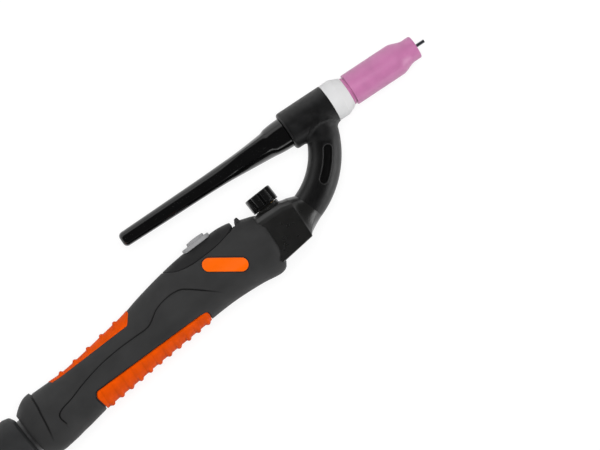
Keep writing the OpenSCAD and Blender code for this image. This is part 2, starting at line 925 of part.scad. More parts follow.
module lead_splices() {
    color([0.1, 0.1, 0.1]) in_row() for (z = [-3, 3])
        translate([-196.2, -59.6, z]) rotate([0, -90, 0]) cylinder(d = 3, h = 14);
}

// ---- Cable joint ----

module ball_seat() {
    color([0.86, 0.86, 0.83]) in_row() difference() {
        on_tail_axis(seat_from + slack) cylinder(d = seat_d, h = seat_to - seat_from - 2 * slack);
        on_tail_axis(ball_s) sphere(d = ball_d + 2 * run);
        on_tail_axis(seat_from - 1) cylinder(r = 13, h = 20);
    }
}

module cable_ball() {
    color([0.14, 0.14, 0.14]) in_row() difference() {
        union() {
            intersection() {
                on_tail_axis(ball_s) sphere(d = ball_d);
                on_tail_axis(ball_s - 10) cylinder(r = 20, h = 20.5);
            }
            on_tail_axis(ball_s) cylinder(d = ball_neck_d, h = sleeve_s - ball_s);
            on_tail_axis(sleeve_s - 1) cylinder(d = spigot_d, h = spigot_end_s - sleeve_s + 1);
        }
        on_tail_axis(-20) cylinder(d = cable_bore_d - 3, h = 60);
    }
}

module cable_sleeve() {
    r = sleeve_d / 2;
    bore = cable_bore_d / 2;
    color([0.17, 0.17, 0.17]) in_row() on_tail_axis(sleeve_s) rotate_extrude() polygon([
        [spigot_d / 2 + run, 0], [r - 5.2, 0], [r - 3.4, 0.6], [r - 1.5, 1.9], [r - 0.4, 3.6], [r, 5.4],
        [r, sleeve_end_s - sleeve_s - rear_chamfer], [r - rear_chamfer, sleeve_end_s - sleeve_s],
        [bore, sleeve_end_s - sleeve_s], [bore, spigot_end_s - sleeve_s + slack],
        [spigot_d / 2 + run, spigot_end_s - sleeve_s + slack]
    ]);
}

tungsten_electrode();
gas_cup();
collet();
collet_body();
cup_gasket();
head_core();
head_rubber();
back_cap();
back_cap_seal();
neck_rubber();
gas_tube();
water_tube();
return_tube();
valve_housing();
valve_block();
valve_gland();
valve_seal();
valve_stem();
valve_knob();
gas_barb();
water_barb();
power_stud();
left_shell();
right_shell();
shell_screws();
upper_grip_pad();
lower_grip_pad();
left_badge();
right_badge();
switch_module();
trigger_button();
trigger_spring();
microswitch();
switch_plunger();
switch_leads();
lead_splices();
ball_seat();
cable_ball();
cable_sleeve();
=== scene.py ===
"""Looks of a water-cooled TIG torch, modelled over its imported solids.

Pieces are drawn in torch axes, in millimetres: the origin is the point on the head's axis where the
rubber head meets the cup gasket, +X runs to the electrode's tip, +Y to the side that the back cap is
on and +Z up from the bench. ``SubAssembly.put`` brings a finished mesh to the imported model's place.
"""

import logging
import math
from dataclasses import dataclass
from enum import Enum
from typing import Callable, Sequence

import bmesh
import bpy
import numpy as np
from mathutils import Matrix, Vector


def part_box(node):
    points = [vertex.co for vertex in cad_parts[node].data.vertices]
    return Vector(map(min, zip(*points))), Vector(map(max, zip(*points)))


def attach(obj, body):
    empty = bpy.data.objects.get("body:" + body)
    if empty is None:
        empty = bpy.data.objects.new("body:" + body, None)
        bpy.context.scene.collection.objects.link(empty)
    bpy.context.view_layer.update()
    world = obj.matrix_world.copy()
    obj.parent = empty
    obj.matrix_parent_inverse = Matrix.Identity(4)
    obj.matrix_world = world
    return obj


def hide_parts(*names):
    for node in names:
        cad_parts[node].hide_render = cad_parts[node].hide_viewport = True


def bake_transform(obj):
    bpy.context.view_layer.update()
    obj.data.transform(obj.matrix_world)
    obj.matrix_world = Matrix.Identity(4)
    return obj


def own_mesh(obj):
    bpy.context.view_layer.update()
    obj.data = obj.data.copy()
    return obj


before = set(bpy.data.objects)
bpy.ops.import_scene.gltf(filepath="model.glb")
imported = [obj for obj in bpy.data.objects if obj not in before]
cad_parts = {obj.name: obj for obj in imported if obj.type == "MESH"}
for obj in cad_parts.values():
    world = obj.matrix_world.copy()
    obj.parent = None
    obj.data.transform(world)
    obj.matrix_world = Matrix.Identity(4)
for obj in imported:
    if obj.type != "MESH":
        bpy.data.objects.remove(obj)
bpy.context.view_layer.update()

MM = 0.001
FULL_TURN = 2 * math.pi
QUARTER_TURN = math.pi / 2

log = logging.getLogger("torch")

Point2 = tuple[float, float]
Corner = tuple[float, float, float]


# ---- Names ----


class Body(Enum):
    """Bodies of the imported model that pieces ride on."""

    HANDLE = "handle"
    HEAD = "head"
    ELECTRODE = "electrode"
    CAP = "cap"
    KNOB = "knob"
    TRIGGER = "trigger"
    CABLE_JOINT = "cable_joint"


class Cut(Enum):
    """What a tool does to the piece that it meets."""

    AWAY = "DIFFERENCE"
    JOIN = "UNION"


class Run(Enum):
    """How a finish's grain is stretched along the torch's X, Y and Z."""

    EVEN = (1.0, 1.0, 1.0)
    ROUND_THE_HEAD = (6.0, 0.6, 0.6)


# ---- Finishes ----


def linear(colour: Sequence[float]) -> tuple[float, float, float, float]:
    """Turns an sRGB colour into the linear one that a shader takes.

    Args:
        colour: red, green and blue from 0 to 1.

    Returns:
        The linear colour with an alpha of 1.
    """
    low = [c / 12.92 for c in colour]
    high = [((c + 0.055) / 1.055) ** 2.4 for c in colour]
    return (*[b if c > 0.04045 else a for c, a, b in zip(colour, low, high)], 1.0)


@dataclass(frozen=True)
class Finish:
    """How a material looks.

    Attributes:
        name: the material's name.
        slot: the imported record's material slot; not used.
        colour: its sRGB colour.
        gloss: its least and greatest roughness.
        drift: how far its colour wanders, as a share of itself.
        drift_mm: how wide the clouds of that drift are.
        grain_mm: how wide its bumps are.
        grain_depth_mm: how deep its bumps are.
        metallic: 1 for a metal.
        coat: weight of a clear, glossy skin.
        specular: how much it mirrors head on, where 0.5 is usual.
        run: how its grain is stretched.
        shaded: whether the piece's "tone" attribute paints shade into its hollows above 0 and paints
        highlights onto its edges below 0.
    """

    name: str
    slot: str
    colour: tuple[float, float, float]
    gloss: tuple[float, float] = (0.5, 0.6)
    drift: float = 0.06
    drift_mm: float = 9.0
    grain_mm: float = 0.35
    grain_depth_mm: float = 0.012
    metallic: float = 0.0
    coat: float = 0.0
    specular: float = 0.5
    run: Run = Run.EVEN
    shaded: bool = False

    def material(self) -> bpy.types.Material:
        """Makes the material, or finds it if it is made already.

        Returns:
            A material of procedural nodes on Object coordinates.
        """
        found = bpy.data.materials.get(self.name)
        if found:
            return found
        made = bpy.data.materials.new(self.name)
        made.use_nodes = True
        tree = made.node_tree
        shader = tree.nodes["Principled BSDF"]
        shader.inputs["Metallic"].default_value = self.metallic
        shader.inputs["Coat Weight"].default_value = self.coat
        shader.inputs["Coat Roughness"].default_value = 0.05
        shader.inputs["Specular IOR Level"].default_value = self.specular
        place = tree.nodes.new("ShaderNodeTexCoord").outputs["Object"]
        spread = self._mapped(tree, place)
        self._link_colour(tree, shader, spread)
        self._link_gloss(tree, shader, spread)
        self._link_grain(tree, shader, spread)
        return made

    def _mapped(self, tree: bpy.types.NodeTree, place: bpy.types.NodeSocket) -> bpy.types.NodeSocket:
        """Returns Object coordinates in millimetres, stretched along the grain."""
        mapping = tree.nodes.new("ShaderNodeMapping")
        mapping.inputs["Scale"].default_value = [share / MM for share in self.run.value]
        tree.links.new(place, mapping.inputs["Vector"])
        return mapping.outputs["Vector"]

    def _noise(
        self, tree: bpy.types.NodeTree, spread: bpy.types.NodeSocket, width_mm: float, detail: float
    ) -> bpy.types.NodeSocket:
        """Returns a noise whose clouds are width_mm wide."""
        noise = tree.nodes.new("ShaderNodeTexNoise")
        noise.inputs["Scale"].default_value = 1 / width_mm
        noise.inputs["Detail"].default_value = detail
        tree.links.new(spread, noise.inputs["Vector"])
        return noise.outputs["Fac"]

    def _range(
        self, tree: bpy.types.NodeTree, value: bpy.types.NodeSocket, low: float, high: float
    ) -> bpy.types.NodeSocket:
        """Returns a noise's middle range, spread from low to high."""
        spread = tree.nodes.new("ShaderNodeMapRange")
        spread.inputs["From Min"].default_value = 0.3
        spread.inputs["From Max"].default_value = 0.7
        spread.inputs["To Min"].default_value = low
        spread.inputs["To Max"].default_value = high
        tree.links.new(value, spread.inputs["Value"])
        return spread.outputs["Result"]

    def _link_colour(
        self, tree: bpy.types.NodeTree, shader: bpy.types.Node, spread: bpy.types.NodeSocket
    ) -> None:
        """Lets the colour drift in soft clouds and fine specks, and paints shade into the hollows and highlights onto
        the edges.
        """
        clouds = self._range(tree, self._noise(tree, spread, self.drift_mm, 4), 0, 1)
        base = linear(self.colour)
        mix = tree.nodes.new("ShaderNodeMix")
        mix.data_type = "RGBA"
        mix.inputs["A"].default_value = [c * (1 - self.drift) for c in base[:3]] + [1]
        mix.inputs["B"].default_value = [min(1, c * (1 + self.drift)) for c in base[:3]] + [1]
        tree.links.new(clouds, mix.inputs["Factor"])
        colour = mix.outputs["Result"]
        if self.shaded:
            tone = tree.nodes.new("ShaderNodeAttribute")
            tone.attribute_name = "tone"
            # Painted shade and painted highlight: a tone above 0 mixes the colour towards a fifth of itself, and a
            # tone below 0 mixes it lighter.
            hollow, painted_highlight = [c * 0.2 for c in base[:3]], [min(1, c * 1.6 + 0.05) for c in base[:3]]
            for shade, sign in ((hollow, 1.0), (painted_highlight, -1.0)):
                share = tree.nodes.new("ShaderNodeMath")
                share.operation = "MULTIPLY"
                share.use_clamp = True
                share.inputs[1].default_value = sign
                tree.links.new(tone.outputs["Fac"], share.inputs[0])
                shaded = tree.nodes.new("ShaderNodeMix")
                shaded.data_type = "RGBA"
                shaded.inputs["B"].default_value = shade + [1]
                tree.links.new(share.outputs[0], shaded.inputs["Factor"])
                tree.links.new(colour, shaded.inputs["A"])
                colour = shaded.outputs["Result"]
        tree.links.new(colour, shader.inputs["Base Color"])

    def _link_gloss(
        self, tree: bpy.types.NodeTree, shader: bpy.types.Node, spread: bpy.types.NodeSocket
    ) -> None:
        """Lets the roughness wander between its two ends, as handling leaves it."""
        smears = self._noise(tree, spread, self.drift_mm * 0.45, 6)
        tree.links.new(self._range(tree, smears, *self.gloss), shader.inputs["Roughness"])

    def _link_grain(
        self, tree: bpy.types.NodeTree, shader: bpy.types.Node, spread: bpy.types.NodeSocket
    ) -> None:
        """Raises the grain as a bump."""
        bump = tree.nodes.new("ShaderNodeBump")
        bump.inputs["Strength"].default_value = 1.0
        bump.inputs["Distance"].default_value = self.grain_depth_mm * MM
        tree.links.new(self._noise(tree, spread, self.grain_mm, 3), bump.inputs["Height"])
        tree.links.new(bump.outputs["Normal"], shader.inputs["Normal"])


RUBBER = Finish("moulded_rubber", "rubber_black", (0.085, 0.085, 0.087), (0.38, 0.54), 0.5, 5.0, 0.5, 0.02,
                specular=0.42)
# The neck is the same rubber moulding as the head, drawn darker: painted shade for the dimmer light on the neck.
SHADED_NECK_RUBBER = Finish("neck_rubber", "rubber_black", (0.05, 0.05, 0.052), (0.36, 0.46), 0.35, 6.0, 0.5, 0.015,
                     specular=0.5, shaded=True)
HOUSING = Finish("housing_nylon", "housing_black", (0.09, 0.09, 0.087), (0.26, 0.36), 0.2, 12.0, 0.35, 0.01,
                 specular=0.8)
SHELL = Finish("shell_nylon", "shell_charcoal", (0.208, 0.208, 0.209), (0.46, 0.58), 0.12, 14.0, 0.3, 0.012,
               specular=0.12, shaded=True)
MODULE = Finish("module_nylon", "housing_black", (0.145, 0.145, 0.147), (0.44, 0.56), 0.1, 12.0, 0.3, 0.012,
                specular=0.15, shaded=True)
GRIP = Finish("grip_rubber", "grip_orange", (0.9, 0.315, 0.0), (0.5, 0.62), 0.1, 6.0, 0.4, 0.015, specular=0.06,
              shaded=True)
BADGE = Finish("badge_plastic", "badge_orange", (0.98, 0.4, 0.0), (0.3, 0.38), 0.03, 6.0, 0.6, 0.004,
               specular=0.2)
BUTTON = Finish("button_plastic", "button_grey", (0.61, 0.61, 0.615), (0.4, 0.5), 0.06, 4.0, 0.3, 0.008)
CAP = Finish("glossy_phenolic", "cap_black", (0.03, 0.03, 0.032), (0.1, 0.17), 0.2, 9.0, 2.5, 0.004, coat=0.3)
KNOB = Finish("knob_phenolic", "cap_black", (0.05, 0.05, 0.052), (0.22, 0.32), 0.2, 4.0, 1.2, 0.005, coat=0.4)
CERAMIC = Finish("pink_alumina", "alumina_pink", (0.765, 0.47, 0.655), (0.3, 0.42), 0.06, 7.0, 0.5, 0.012,
                 specular=0.65)
PTFE = Finish("white_ptfe", "ptfe_white", (0.87, 0.87, 0.872), (0.42, 0.55), 0.025, 8.0, 0.8, 0.01)
TUNGSTEN = Finish("ground_tungsten", "tungsten", (0.44, 0.45, 0.47), (0.3, 0.45), 0.15, 2.0, 0.12, 0.003,
                  metallic=1.0, run=Run.ROUND_THE_HEAD)
COPPER = Finish("machined_copper", "copper", (0.8, 0.5, 0.33), (0.28, 0.42), 0.12, 3.0, 0.15, 0.004,
                metallic=1.0, run=Run.ROUND_THE_HEAD)
BRASS = Finish("machined_brass", "brass", (0.76, 0.6, 0.3), (0.26, 0.4), 0.1, 4.0, 0.15, 0.004, metallic=1.0,
               run=Run.ROUND_THE_HEAD)
SEAL = Finish("seal_rubber", "rubber_black", (0.1, 0.1, 0.1), (0.55, 0.7), 0.1, 2.0, 0.2, 0.006)
STEEL = Finish("spring_wire", "spring_steel", (0.7, 0.7, 0.72), (0.22, 0.34), 0.08, 1.0, 0.1, 0.002, metallic=1.0)
SCREW = Finish("black_oxide", "screw_black", (0.25, 0.25, 0.26), (0.34, 0.5), 0.2, 2.0, 0.2, 0.004, metallic=1.0)
SWITCH = Finish("switch_plastic", "switch_black", (0.08, 0.08, 0.09), (0.4, 0.5), 0.1, 3.0, 0.3, 0.008)
PLUNGER = Finish("plunger_plastic", "plunger_red", (0.85, 0.2, 0.15), (0.35, 0.45), 0.06, 1.5, 0.3, 0.005)
LEAD = Finish("lead_insulation", "lead_red", (0.7, 0.1, 0.1), (0.35, 0.48), 0.08, 4.0, 0.5, 0.006)
SLEEVING = Finish("splice_sleeving", "switch_black", (0.1, 0.1, 0.1), (0.45, 0.6), 0.12, 2.0, 0.5, 0.01)
SEAT = Finish("seat_acetal", "seat_white", (0.86, 0.86, 0.83), (0.35, 0.45), 0.03, 5.0, 0.5, 0.006)
JOINT = Finish("ball_nylon", "joint_black", (0.2, 0.2, 0.202), (0.36, 0.48), 0.1, 8.0, 0.4, 0.008)
SLEEVE = Finish("sleeve_nylon", "shell_charcoal", (0.185, 0.187, 0.19), (0.48, 0.6), 0.14, 12.0, 0.4, 0.015,
                specular=0.22)

INNER_FINISHES = {
    "collet": COPPER,
    "collet_body": COPPER,
    "head_core": BRASS,
    "back_cap_seal": SEAL,
    "valve_block": BRASS,
    "valve_gland": BRASS,
    "valve_seal": SEAL,
    "valve_stem": BRASS,
    "gas_barb": BRASS,
    "water_barb": BRASS,
    "power_stud": BRASS,
    "shell_screws": SCREW,
    "microswitch": SWITCH,
    "switch_plunger": PLUNGER,
    "switch_leads": LEAD,
    "lead_splices": SLEEVING,
    "ball_seat": SEAT,
}


# ---- Curves and outlines ----


def rise(t: np.ndarray | float) -> np.ndarray:
    """Goes smoothly from 0 to 1 as t does."""
    t = np.clip(t, 0.0, 1.0)
    return t * t * (3 - 2 * t)


@dataclass(frozen=True)
class Stations:
    """A smooth curve through stations of (distance, height)."""

    points: tuple[Point2, ...]

    def __call__(self, x: np.ndarray | float) -> np.ndarray:
        """Returns the curve's height at x."""
        at, height = np.array(self.points, float).T
        last = len(at) - 1
        before = np.clip(np.arange(last + 1) - 1, 0, last)
        after = np.clip(np.arange(last + 1) + 1, 0, last)
        slope = (height[after] - height[before]) / (at[after] - at[before])
        i = np.clip(np.searchsorted(at, x, side="right") - 1, 0, last - 1)
        width = at[i + 1] - at[i]
        t = (x - at[i]) / width
        start = (2 * t**3 - 3 * t**2 + 1) * height[i] + (t**3 - 2 * t**2 + t) * width * slope[i]
        end = (3 * t**2 - 2 * t**3) * height[i + 1] + (t**3 - t**2) * width * slope[i + 1]
        return start + end


def rounded(corners: Sequence[Corner], step: float = 0.0, closed: bool = True) -> np.ndarray:
    """Draws an outline through corners, with an arc at each.

    Args:
        corners: (x, y, radius) of each corner.
        step: longest distance between points on the straight runs, or 0 for none between.
        closed: whether the last corner runs back to the first.

    Returns:
        The outline's points, one a row.
    """
    count = len(corners)
    points: list[np.ndarray] = []
    for i, (x, y, radius) in enumerate(corners):
        here = np.array((x, y), float)
        if not closed and i in (0, count - 1) or radius <= 0:
            points.append(here)
            continue
        back = np.array(corners[i - 1][:2], float) - here
        ahead = np.array(corners[(i + 1) % count][:2], float) - here
        reach = min(np.linalg.norm(back), np.linalg.norm(ahead)) * 0.49
        back, ahead = back / np.linalg.norm(back), ahead / np.linalg.norm(ahead)
        half = math.acos(float(np.clip(back @ ahead, -0.9999, 0.9999))) / 2
        inset = min(radius / math.tan(half), reach)
        for t in np.linspace(0, 1, 6):
            points.append(here + back * inset * (1 - t) ** 2 + ahead * inset * t**2)
    if step <= 0:
        return np.array(points)
    ends = points[1:] + points[:1] if closed else points[1:] + points[-1:]
    dense: list[np.ndarray] = []
    for start, end in zip(points, ends):
        cuts = max(1, math.ceil(float(np.linalg.norm(end - start)) / step))
        dense += [start + (end - start) * k / cuts for k in range(cuts)]
    return np.array(dense)


def curve_through(points: Sequence[Point2], step: float = 0.8) -> np.ndarray:
    """Draws a smooth open curve through points.

    Args:
        points: the points, in order.
        step: distance between the points drawn.

    Returns:
        The curve's points, one a row.
    """
    given = np.array(points, float)
    run = np.concatenate(([0], np.cumsum(np.linalg.norm(np.diff(given, axis=0), axis=1))))
    at = np.linspace(0, run[-1], max(2, round(run[-1] / step)))
    return np.column_stack([Stations(tuple(zip(run, given[:, k])))(at) for k in (0, 1)])


def distance_to(line: np.ndarray, flat: np.ndarray) -> np.ndarray:
    """Returns how far each flat point is from a line of points."""
    best = np.full(len(flat), np.inf)
    for start, end in zip(line[:-1], line[1:]):
        run = end - start
        t = np.clip((flat - start) @ run / max(run @ run, 1e-12), 0, 1)
        best = np.minimum(best, np.linalg.norm(flat - start - t[:, None] * run, axis=1))
    return best


def widened(outline: np.ndarray, by: float) -> np.ndarray:
    """Moves a closed outline, drawn counter-clockwise, outwards by a distance."""
    apart = np.linalg.norm(np.roll(outline, -1, axis=0) - outline, axis=1)
    outline = outline[apart > 0.05]
    edges = np.roll(outline, -1, axis=0) - outline
    edges = edges / np.maximum(np.linalg.norm(edges, axis=1), 1e-9)[:, None]
    outward = np.column_stack((edges[:, 1], -edges[:, 0]))
    mean = outward + np.roll(outward, 1, axis=0)
    length = np.linalg.norm(mean, axis=1)
    return outline + mean * (by * 2 / np.maximum(length, 1.0) ** 2)[:, None]


# ---- Meshes ----


def spun(profile: Sequence[Point2] | np.ndarray, steps: int = 96, closed: bool = False) -> bmesh.types.BMesh:
    """Spins a profile about the X axis.

    Args:
        profile: (along, radius) points.
        steps: how many steps make the full turn.
        closed: whether the profile is a loop, which makes a tube.

    Returns:
        A closed mesh.
    """
    made = bmesh.new()
    verts = [made.verts.new((along, radius, 0)) for along, radius in profile]
    pairs = list(zip(verts[:-1], verts[1:])) + ([(verts[-1], verts[0])] if closed else [])
    edges = [made.edges.new(pair) for pair in pairs]
    bmesh.ops.spin(
        made, geom=verts + edges, cent=(0, 0, 0), axis=(1, 0, 0), angle=FULL_TURN, steps=steps, use_merge=True
    )
    return tidy(made)


def rolled(rings: np.ndarray) -> bmesh.types.BMesh:
    """Rolls a grid up into a closed tube through rings of points.

    Args:
        rings: an array of rings, points a ring, and x, y and z.

    Returns:
        A mesh with both ends closed.
    """
    count, sides = rings.shape[:2]
    made = bmesh.new()
    bmesh.ops.create_grid(made, x_segments=count - 1, y_segments=sides, size=0.5)
    for vert in made.verts:
        i = round((vert.co.x + 0.5) * (count - 1))
        j = round((vert.co.y + 0.5) * sides) % sides
        vert.co = rings[i, j]
    bmesh.ops.remove_doubles(made, verts=made.verts, dist=1e-4)
    rims = [edge for edge in made.edges if edge.is_boundary]
    bmesh.ops.holes_fill(made, edges=rims, sides=0)
    return tidy(made)


def tidy(mesh: bmesh.types.BMesh) -> bmesh.types.BMesh:
    """Merges doubles and turns the faces outwards."""
    bmesh.ops.remove_doubles(mesh, verts=mesh.verts, dist=1e-4)
    bmesh.ops.recalc_face_normals(mesh, faces=mesh.faces)
    return mesh


def joined(*meshes: bmesh.types.BMesh) -> bmesh.types.BMesh:
    """Puts several meshes into the first."""
    for extra in meshes[1:]:
        kept = bpy.data.meshes.new("scratch")
        extra.to_mesh(kept)
        meshes[0].from_mesh(kept)
        bpy.data.meshes.remove(kept)
        extra.free()
    return meshes[0]


def mirrored(mesh: bmesh.types.BMesh) -> bmesh.types.BMesh:
    """Returns a copy of a mesh, mirrored in the torch's middle plane."""
    made = mesh.copy()
    bmesh.ops.scale(made, vec=(1, 1, -1), verts=made.verts)
    bmesh.ops.recalc_face_normals(made, faces=made.faces)
    return made


def cut(body: bmesh.types.BMesh, tool: bmesh.types.BMesh, how: Cut) -> bmesh.types.BMesh:
    """Cuts a tool away from a body, or joins it on.

    Args:
        body: the closed mesh that is changed.
        tool: the closed mesh that changes it.
        how: whether the tool is cut away or joined on.

    Returns:
        The changed mesh.
    """
    blocks = []
    for name, mesh in (("scratch_body", body), ("scratch_tool", tool)):
        data = bpy.data.meshes.new(name)
        mesh.to_mesh(data)
        blocks.append(bpy.data.objects.new(name, data))
        bpy.context.scene.collection.objects.link(blocks[-1])
        mesh.free()
    boolean = blocks[0].modifiers.new("cut", "BOOLEAN")
    boolean.object = blocks[1]
    boolean.operation = how.value
    boolean.solver = "EXACT"
    made = bmesh.new()
    made.from_object(blocks[0], bpy.context.evaluated_depsgraph_get())
    for block in blocks:
        data = block.data
        bpy.data.objects.remove(block)
        bpy.data.meshes.remove(data)
    return made


def plate(
    outline: np.ndarray, low: float, high: float, round_top: float = 0.0, segments: int = 3
) -> bmesh.types.BMesh:
    """Makes a flat plate from an outline in the XY plane.

    Args:
        outline: the outline's points.
        low: height of its underside.
        high: height of its top.
        round_top: radius of the edge round its top.
        segments: how many steps round that edge.

    Returns:
        A closed mesh.
    """
    made = bmesh.new()
    face = made.faces.new([made.verts.new((x, y, low)) for x, y in outline])
    grown = bmesh.ops.extrude_face_region(made, geom=[face])["geom"]
    lifted = [item for item in grown if isinstance(item, bmesh.types.BMVert)]
    bmesh.ops.translate(made, verts=lifted, vec=(0, 0, high - low))
    bmesh.ops.recalc_face_normals(made, faces=made.faces)
    if round_top > 0:
        soften(made, high, round_top, segments)
    return made


def soften(mesh: bmesh.types.BMesh, height: float, radius: float, segments: int = 2) -> None:
    """Bevels the edges where faces at a height meet upright walls.

    Args:
        mesh: the mesh, which is changed.
        height: how high the rims are.
        radius: radius of the bevel.
        segments: how many steps it has.
    """
    rims = []
    for edge in mesh.edges:
        if len(edge.link_faces) != 2 or any(abs(vert.co.z - height) > 1e-3 for vert in edge.verts):
            continue
        steepness = sorted(abs(face.normal.z) for face in edge.link_faces)
        if steepness[0] < 0.3 and steepness[1] > 0.9:
            rims.append(edge)
    bmesh.ops.bevel(
        mesh, geom=rims, offset=radius, offset_type="OFFSET", segments=segments, profile=0.5, affect="EDGES",
        clamp_overlap=True, material=-1,
    )


def stadium(length: float, width: float) -> np.ndarray:
    """Returns the outline of a slot with round ends, centred on the origin."""
    turns = np.linspace(-QUARTER_TURN, QUARTER_TURN, 13)
    right = np.column_stack((np.cos(turns), np.sin(turns))) * width / 2
    offset = np.array(((length - width) / 2, 0))
    return np.concatenate((right + offset, -right - offset))


def standing(origin: Sequence[float], direction: Sequence[float]) -> Matrix:
    """Returns the matrix that lays the X axis along a direction from an origin, with Z kept up."""
    along = Vector((*direction[:2], 0)).normalized()
    up = Vector((0, 0, 1))
    across = up.cross(along)
    turn = Matrix((along, across, up)).transposed().to_4x4()
    return Matrix.Translation(Vector((*origin[:2], 0))) @ turn


class Blank:
    """A flat sheet in (u, v, height), cut and refined before it is pressed round a form."""

    def __init__(self, mesh: bmesh.types.BMesh) -> None:
        """Takes over a flat mesh."""
        self.mesh = mesh

    @classmethod
    def grid(cls, u: Point2, v: Point2, step: float) -> "Blank":
        """Makes an open sheet of square cells between two ends along u and along v."""
        mesh = bmesh.new()
        cells = [max(1, round((b - a) / step)) for a, b in (u, v)]
        bmesh.ops.create_grid(mesh, x_segments=cells[0], y_segments=cells[1], size=0.5)
        bmesh.ops.translate(mesh, verts=mesh.verts, vec=(0.5, 0.5, 0))
        bmesh.ops.scale(mesh, verts=mesh.verts, vec=(u[1] - u[0], v[1] - v[0], 1))
        bmesh.ops.translate(mesh, verts=mesh.verts, vec=(u[0], v[0], 0))
        return cls(mesh)

    def flat(self) -> np.ndarray:
        """Returns the points, one a row."""
        return np.array([vert.co for vert in self.mesh.verts], float).reshape(-1, 3)

    def slice(self, step: float) -> None:
        """Cuts the sheet along lines a step apart, both ways, so that it can bend."""
        points = self.flat()
        for axis in (0, 1):
            low, high = points[:, axis].min(), points[:, axis].max()
            count = math.ceil((high - low) / step)
            for k in range(1, count):
                place, normal = [0.0, 0.0, 0.0], [0.0, 0.0, 0.0]
                place[axis], normal[axis] = low + (high - low) * k / count, 1.0
                everything = [*self.mesh.verts, *self.mesh.edges, *self.mesh.faces]
                bmesh.ops.bisect_plane(
                    self.mesh, geom=everything, dist=1e-4, plane_co=place, plane_no=normal
                )

    def refine(self, distance: Callable[[np.ndarray], np.ndarray], reach: float, step: float, rounds: int) -> None:
        """Halves the cells on the top near a feature, several times.

        Args:
            distance: how far flat points are from the feature.
            reach: how far from the feature the finest cells go.
            step: size of the cells before the first round.
            rounds: how many times they are halved.
        """
        for k in range(rounds):
            points = self.flat()
            near = distance(points[:, :2]) < reach + step / 2**k
            self.mesh.verts.index_update()
            top = [
                face for face in self.mesh.faces
                if face.normal.z > 0.2 and any(near[vert.index] for vert in face.verts)
            ]
            edges = list({edge for face in top for edge in face.edges})
            bmesh.ops.subdivide_edges(self.mesh, edges=edges, cuts=1, use_grid_fill=True, use_single_edge=True)
            self.mesh.normal_update()

    def press(self, form: Callable[[np.ndarray], np.ndarray], tone: np.ndarray | None = None) -> bmesh.types.BMesh:
        """Presses the sheet round a form.

        Args:
            form: turns (u, v, height) rows into torch axes.
            tone: how much shade is painted at each point, from 0 to 1, or None for none.

        Returns:
            The pressed mesh, of triangles.
        """
        places = form(self.flat())
        if tone is not None:
            layer = self.mesh.verts.layers.float.new("tone")
            for vert, value in zip(self.mesh.verts, tone):
                vert[layer] = float(value)
        for vert, place in zip(self.mesh.verts, places):
            vert.co = place
        bmesh.ops.triangulate(self.mesh, faces=self.mesh.faces)
        return tidy(self.mesh)


class SubAssembly:
    """A group of pieces that are drawn and dressed together."""

    crease = math.radians(38)

    @staticmethod
    def origin() -> Vector:
        """Returns the torch axes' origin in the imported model, in metres."""
        gasket_low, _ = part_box("cup_gasket")
        cup_low, cup_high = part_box("gas_cup")
        middle = (Vector(cup_low) + Vector(cup_high)) / 2
        return Vector((gasket_low[0], middle.y, middle.z))

    def put(
        self, name: str, mesh: bmesh.types.BMesh, finish: Finish, body: Body | None, nodes: Sequence[str]
    ) -> bpy.types.Object:
        """Makes a piece from a mesh in torch axes.

        Args:
            name: the piece's name.
            mesh: its mesh, which is used up.
            finish: what it is made of.
            body: the body that it rides on, or None for a piece that rides on none.
            nodes: the CAD nodes that it stands for.

        Returns:
            The piece.
        """
        for face in mesh.faces:
            face.smooth = True
        for edge in mesh.edges:
            edge.smooth = edge.is_manifold and edge.calc_face_angle(0) < self.crease
        place = Matrix.Translation(self.origin()) @ Matrix.Scale(MM, 4)
        bmesh.ops.transform(mesh, matrix=place, verts=mesh.verts)
        data = bpy.data.meshes.new(name)
        mesh.to_mesh(data)
        mesh.free()
        data.materials.append(finish.material())
        piece = bpy.data.objects.new(name, data)
        bpy.context.scene.collection.objects.link(piece)
        if body:
            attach(piece, body.value)
        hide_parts(*nodes)
        log.info("%s: %d faces, %s", name, len(data.polygons), finish.name)
        return piece


# ---- Nozzle end ----


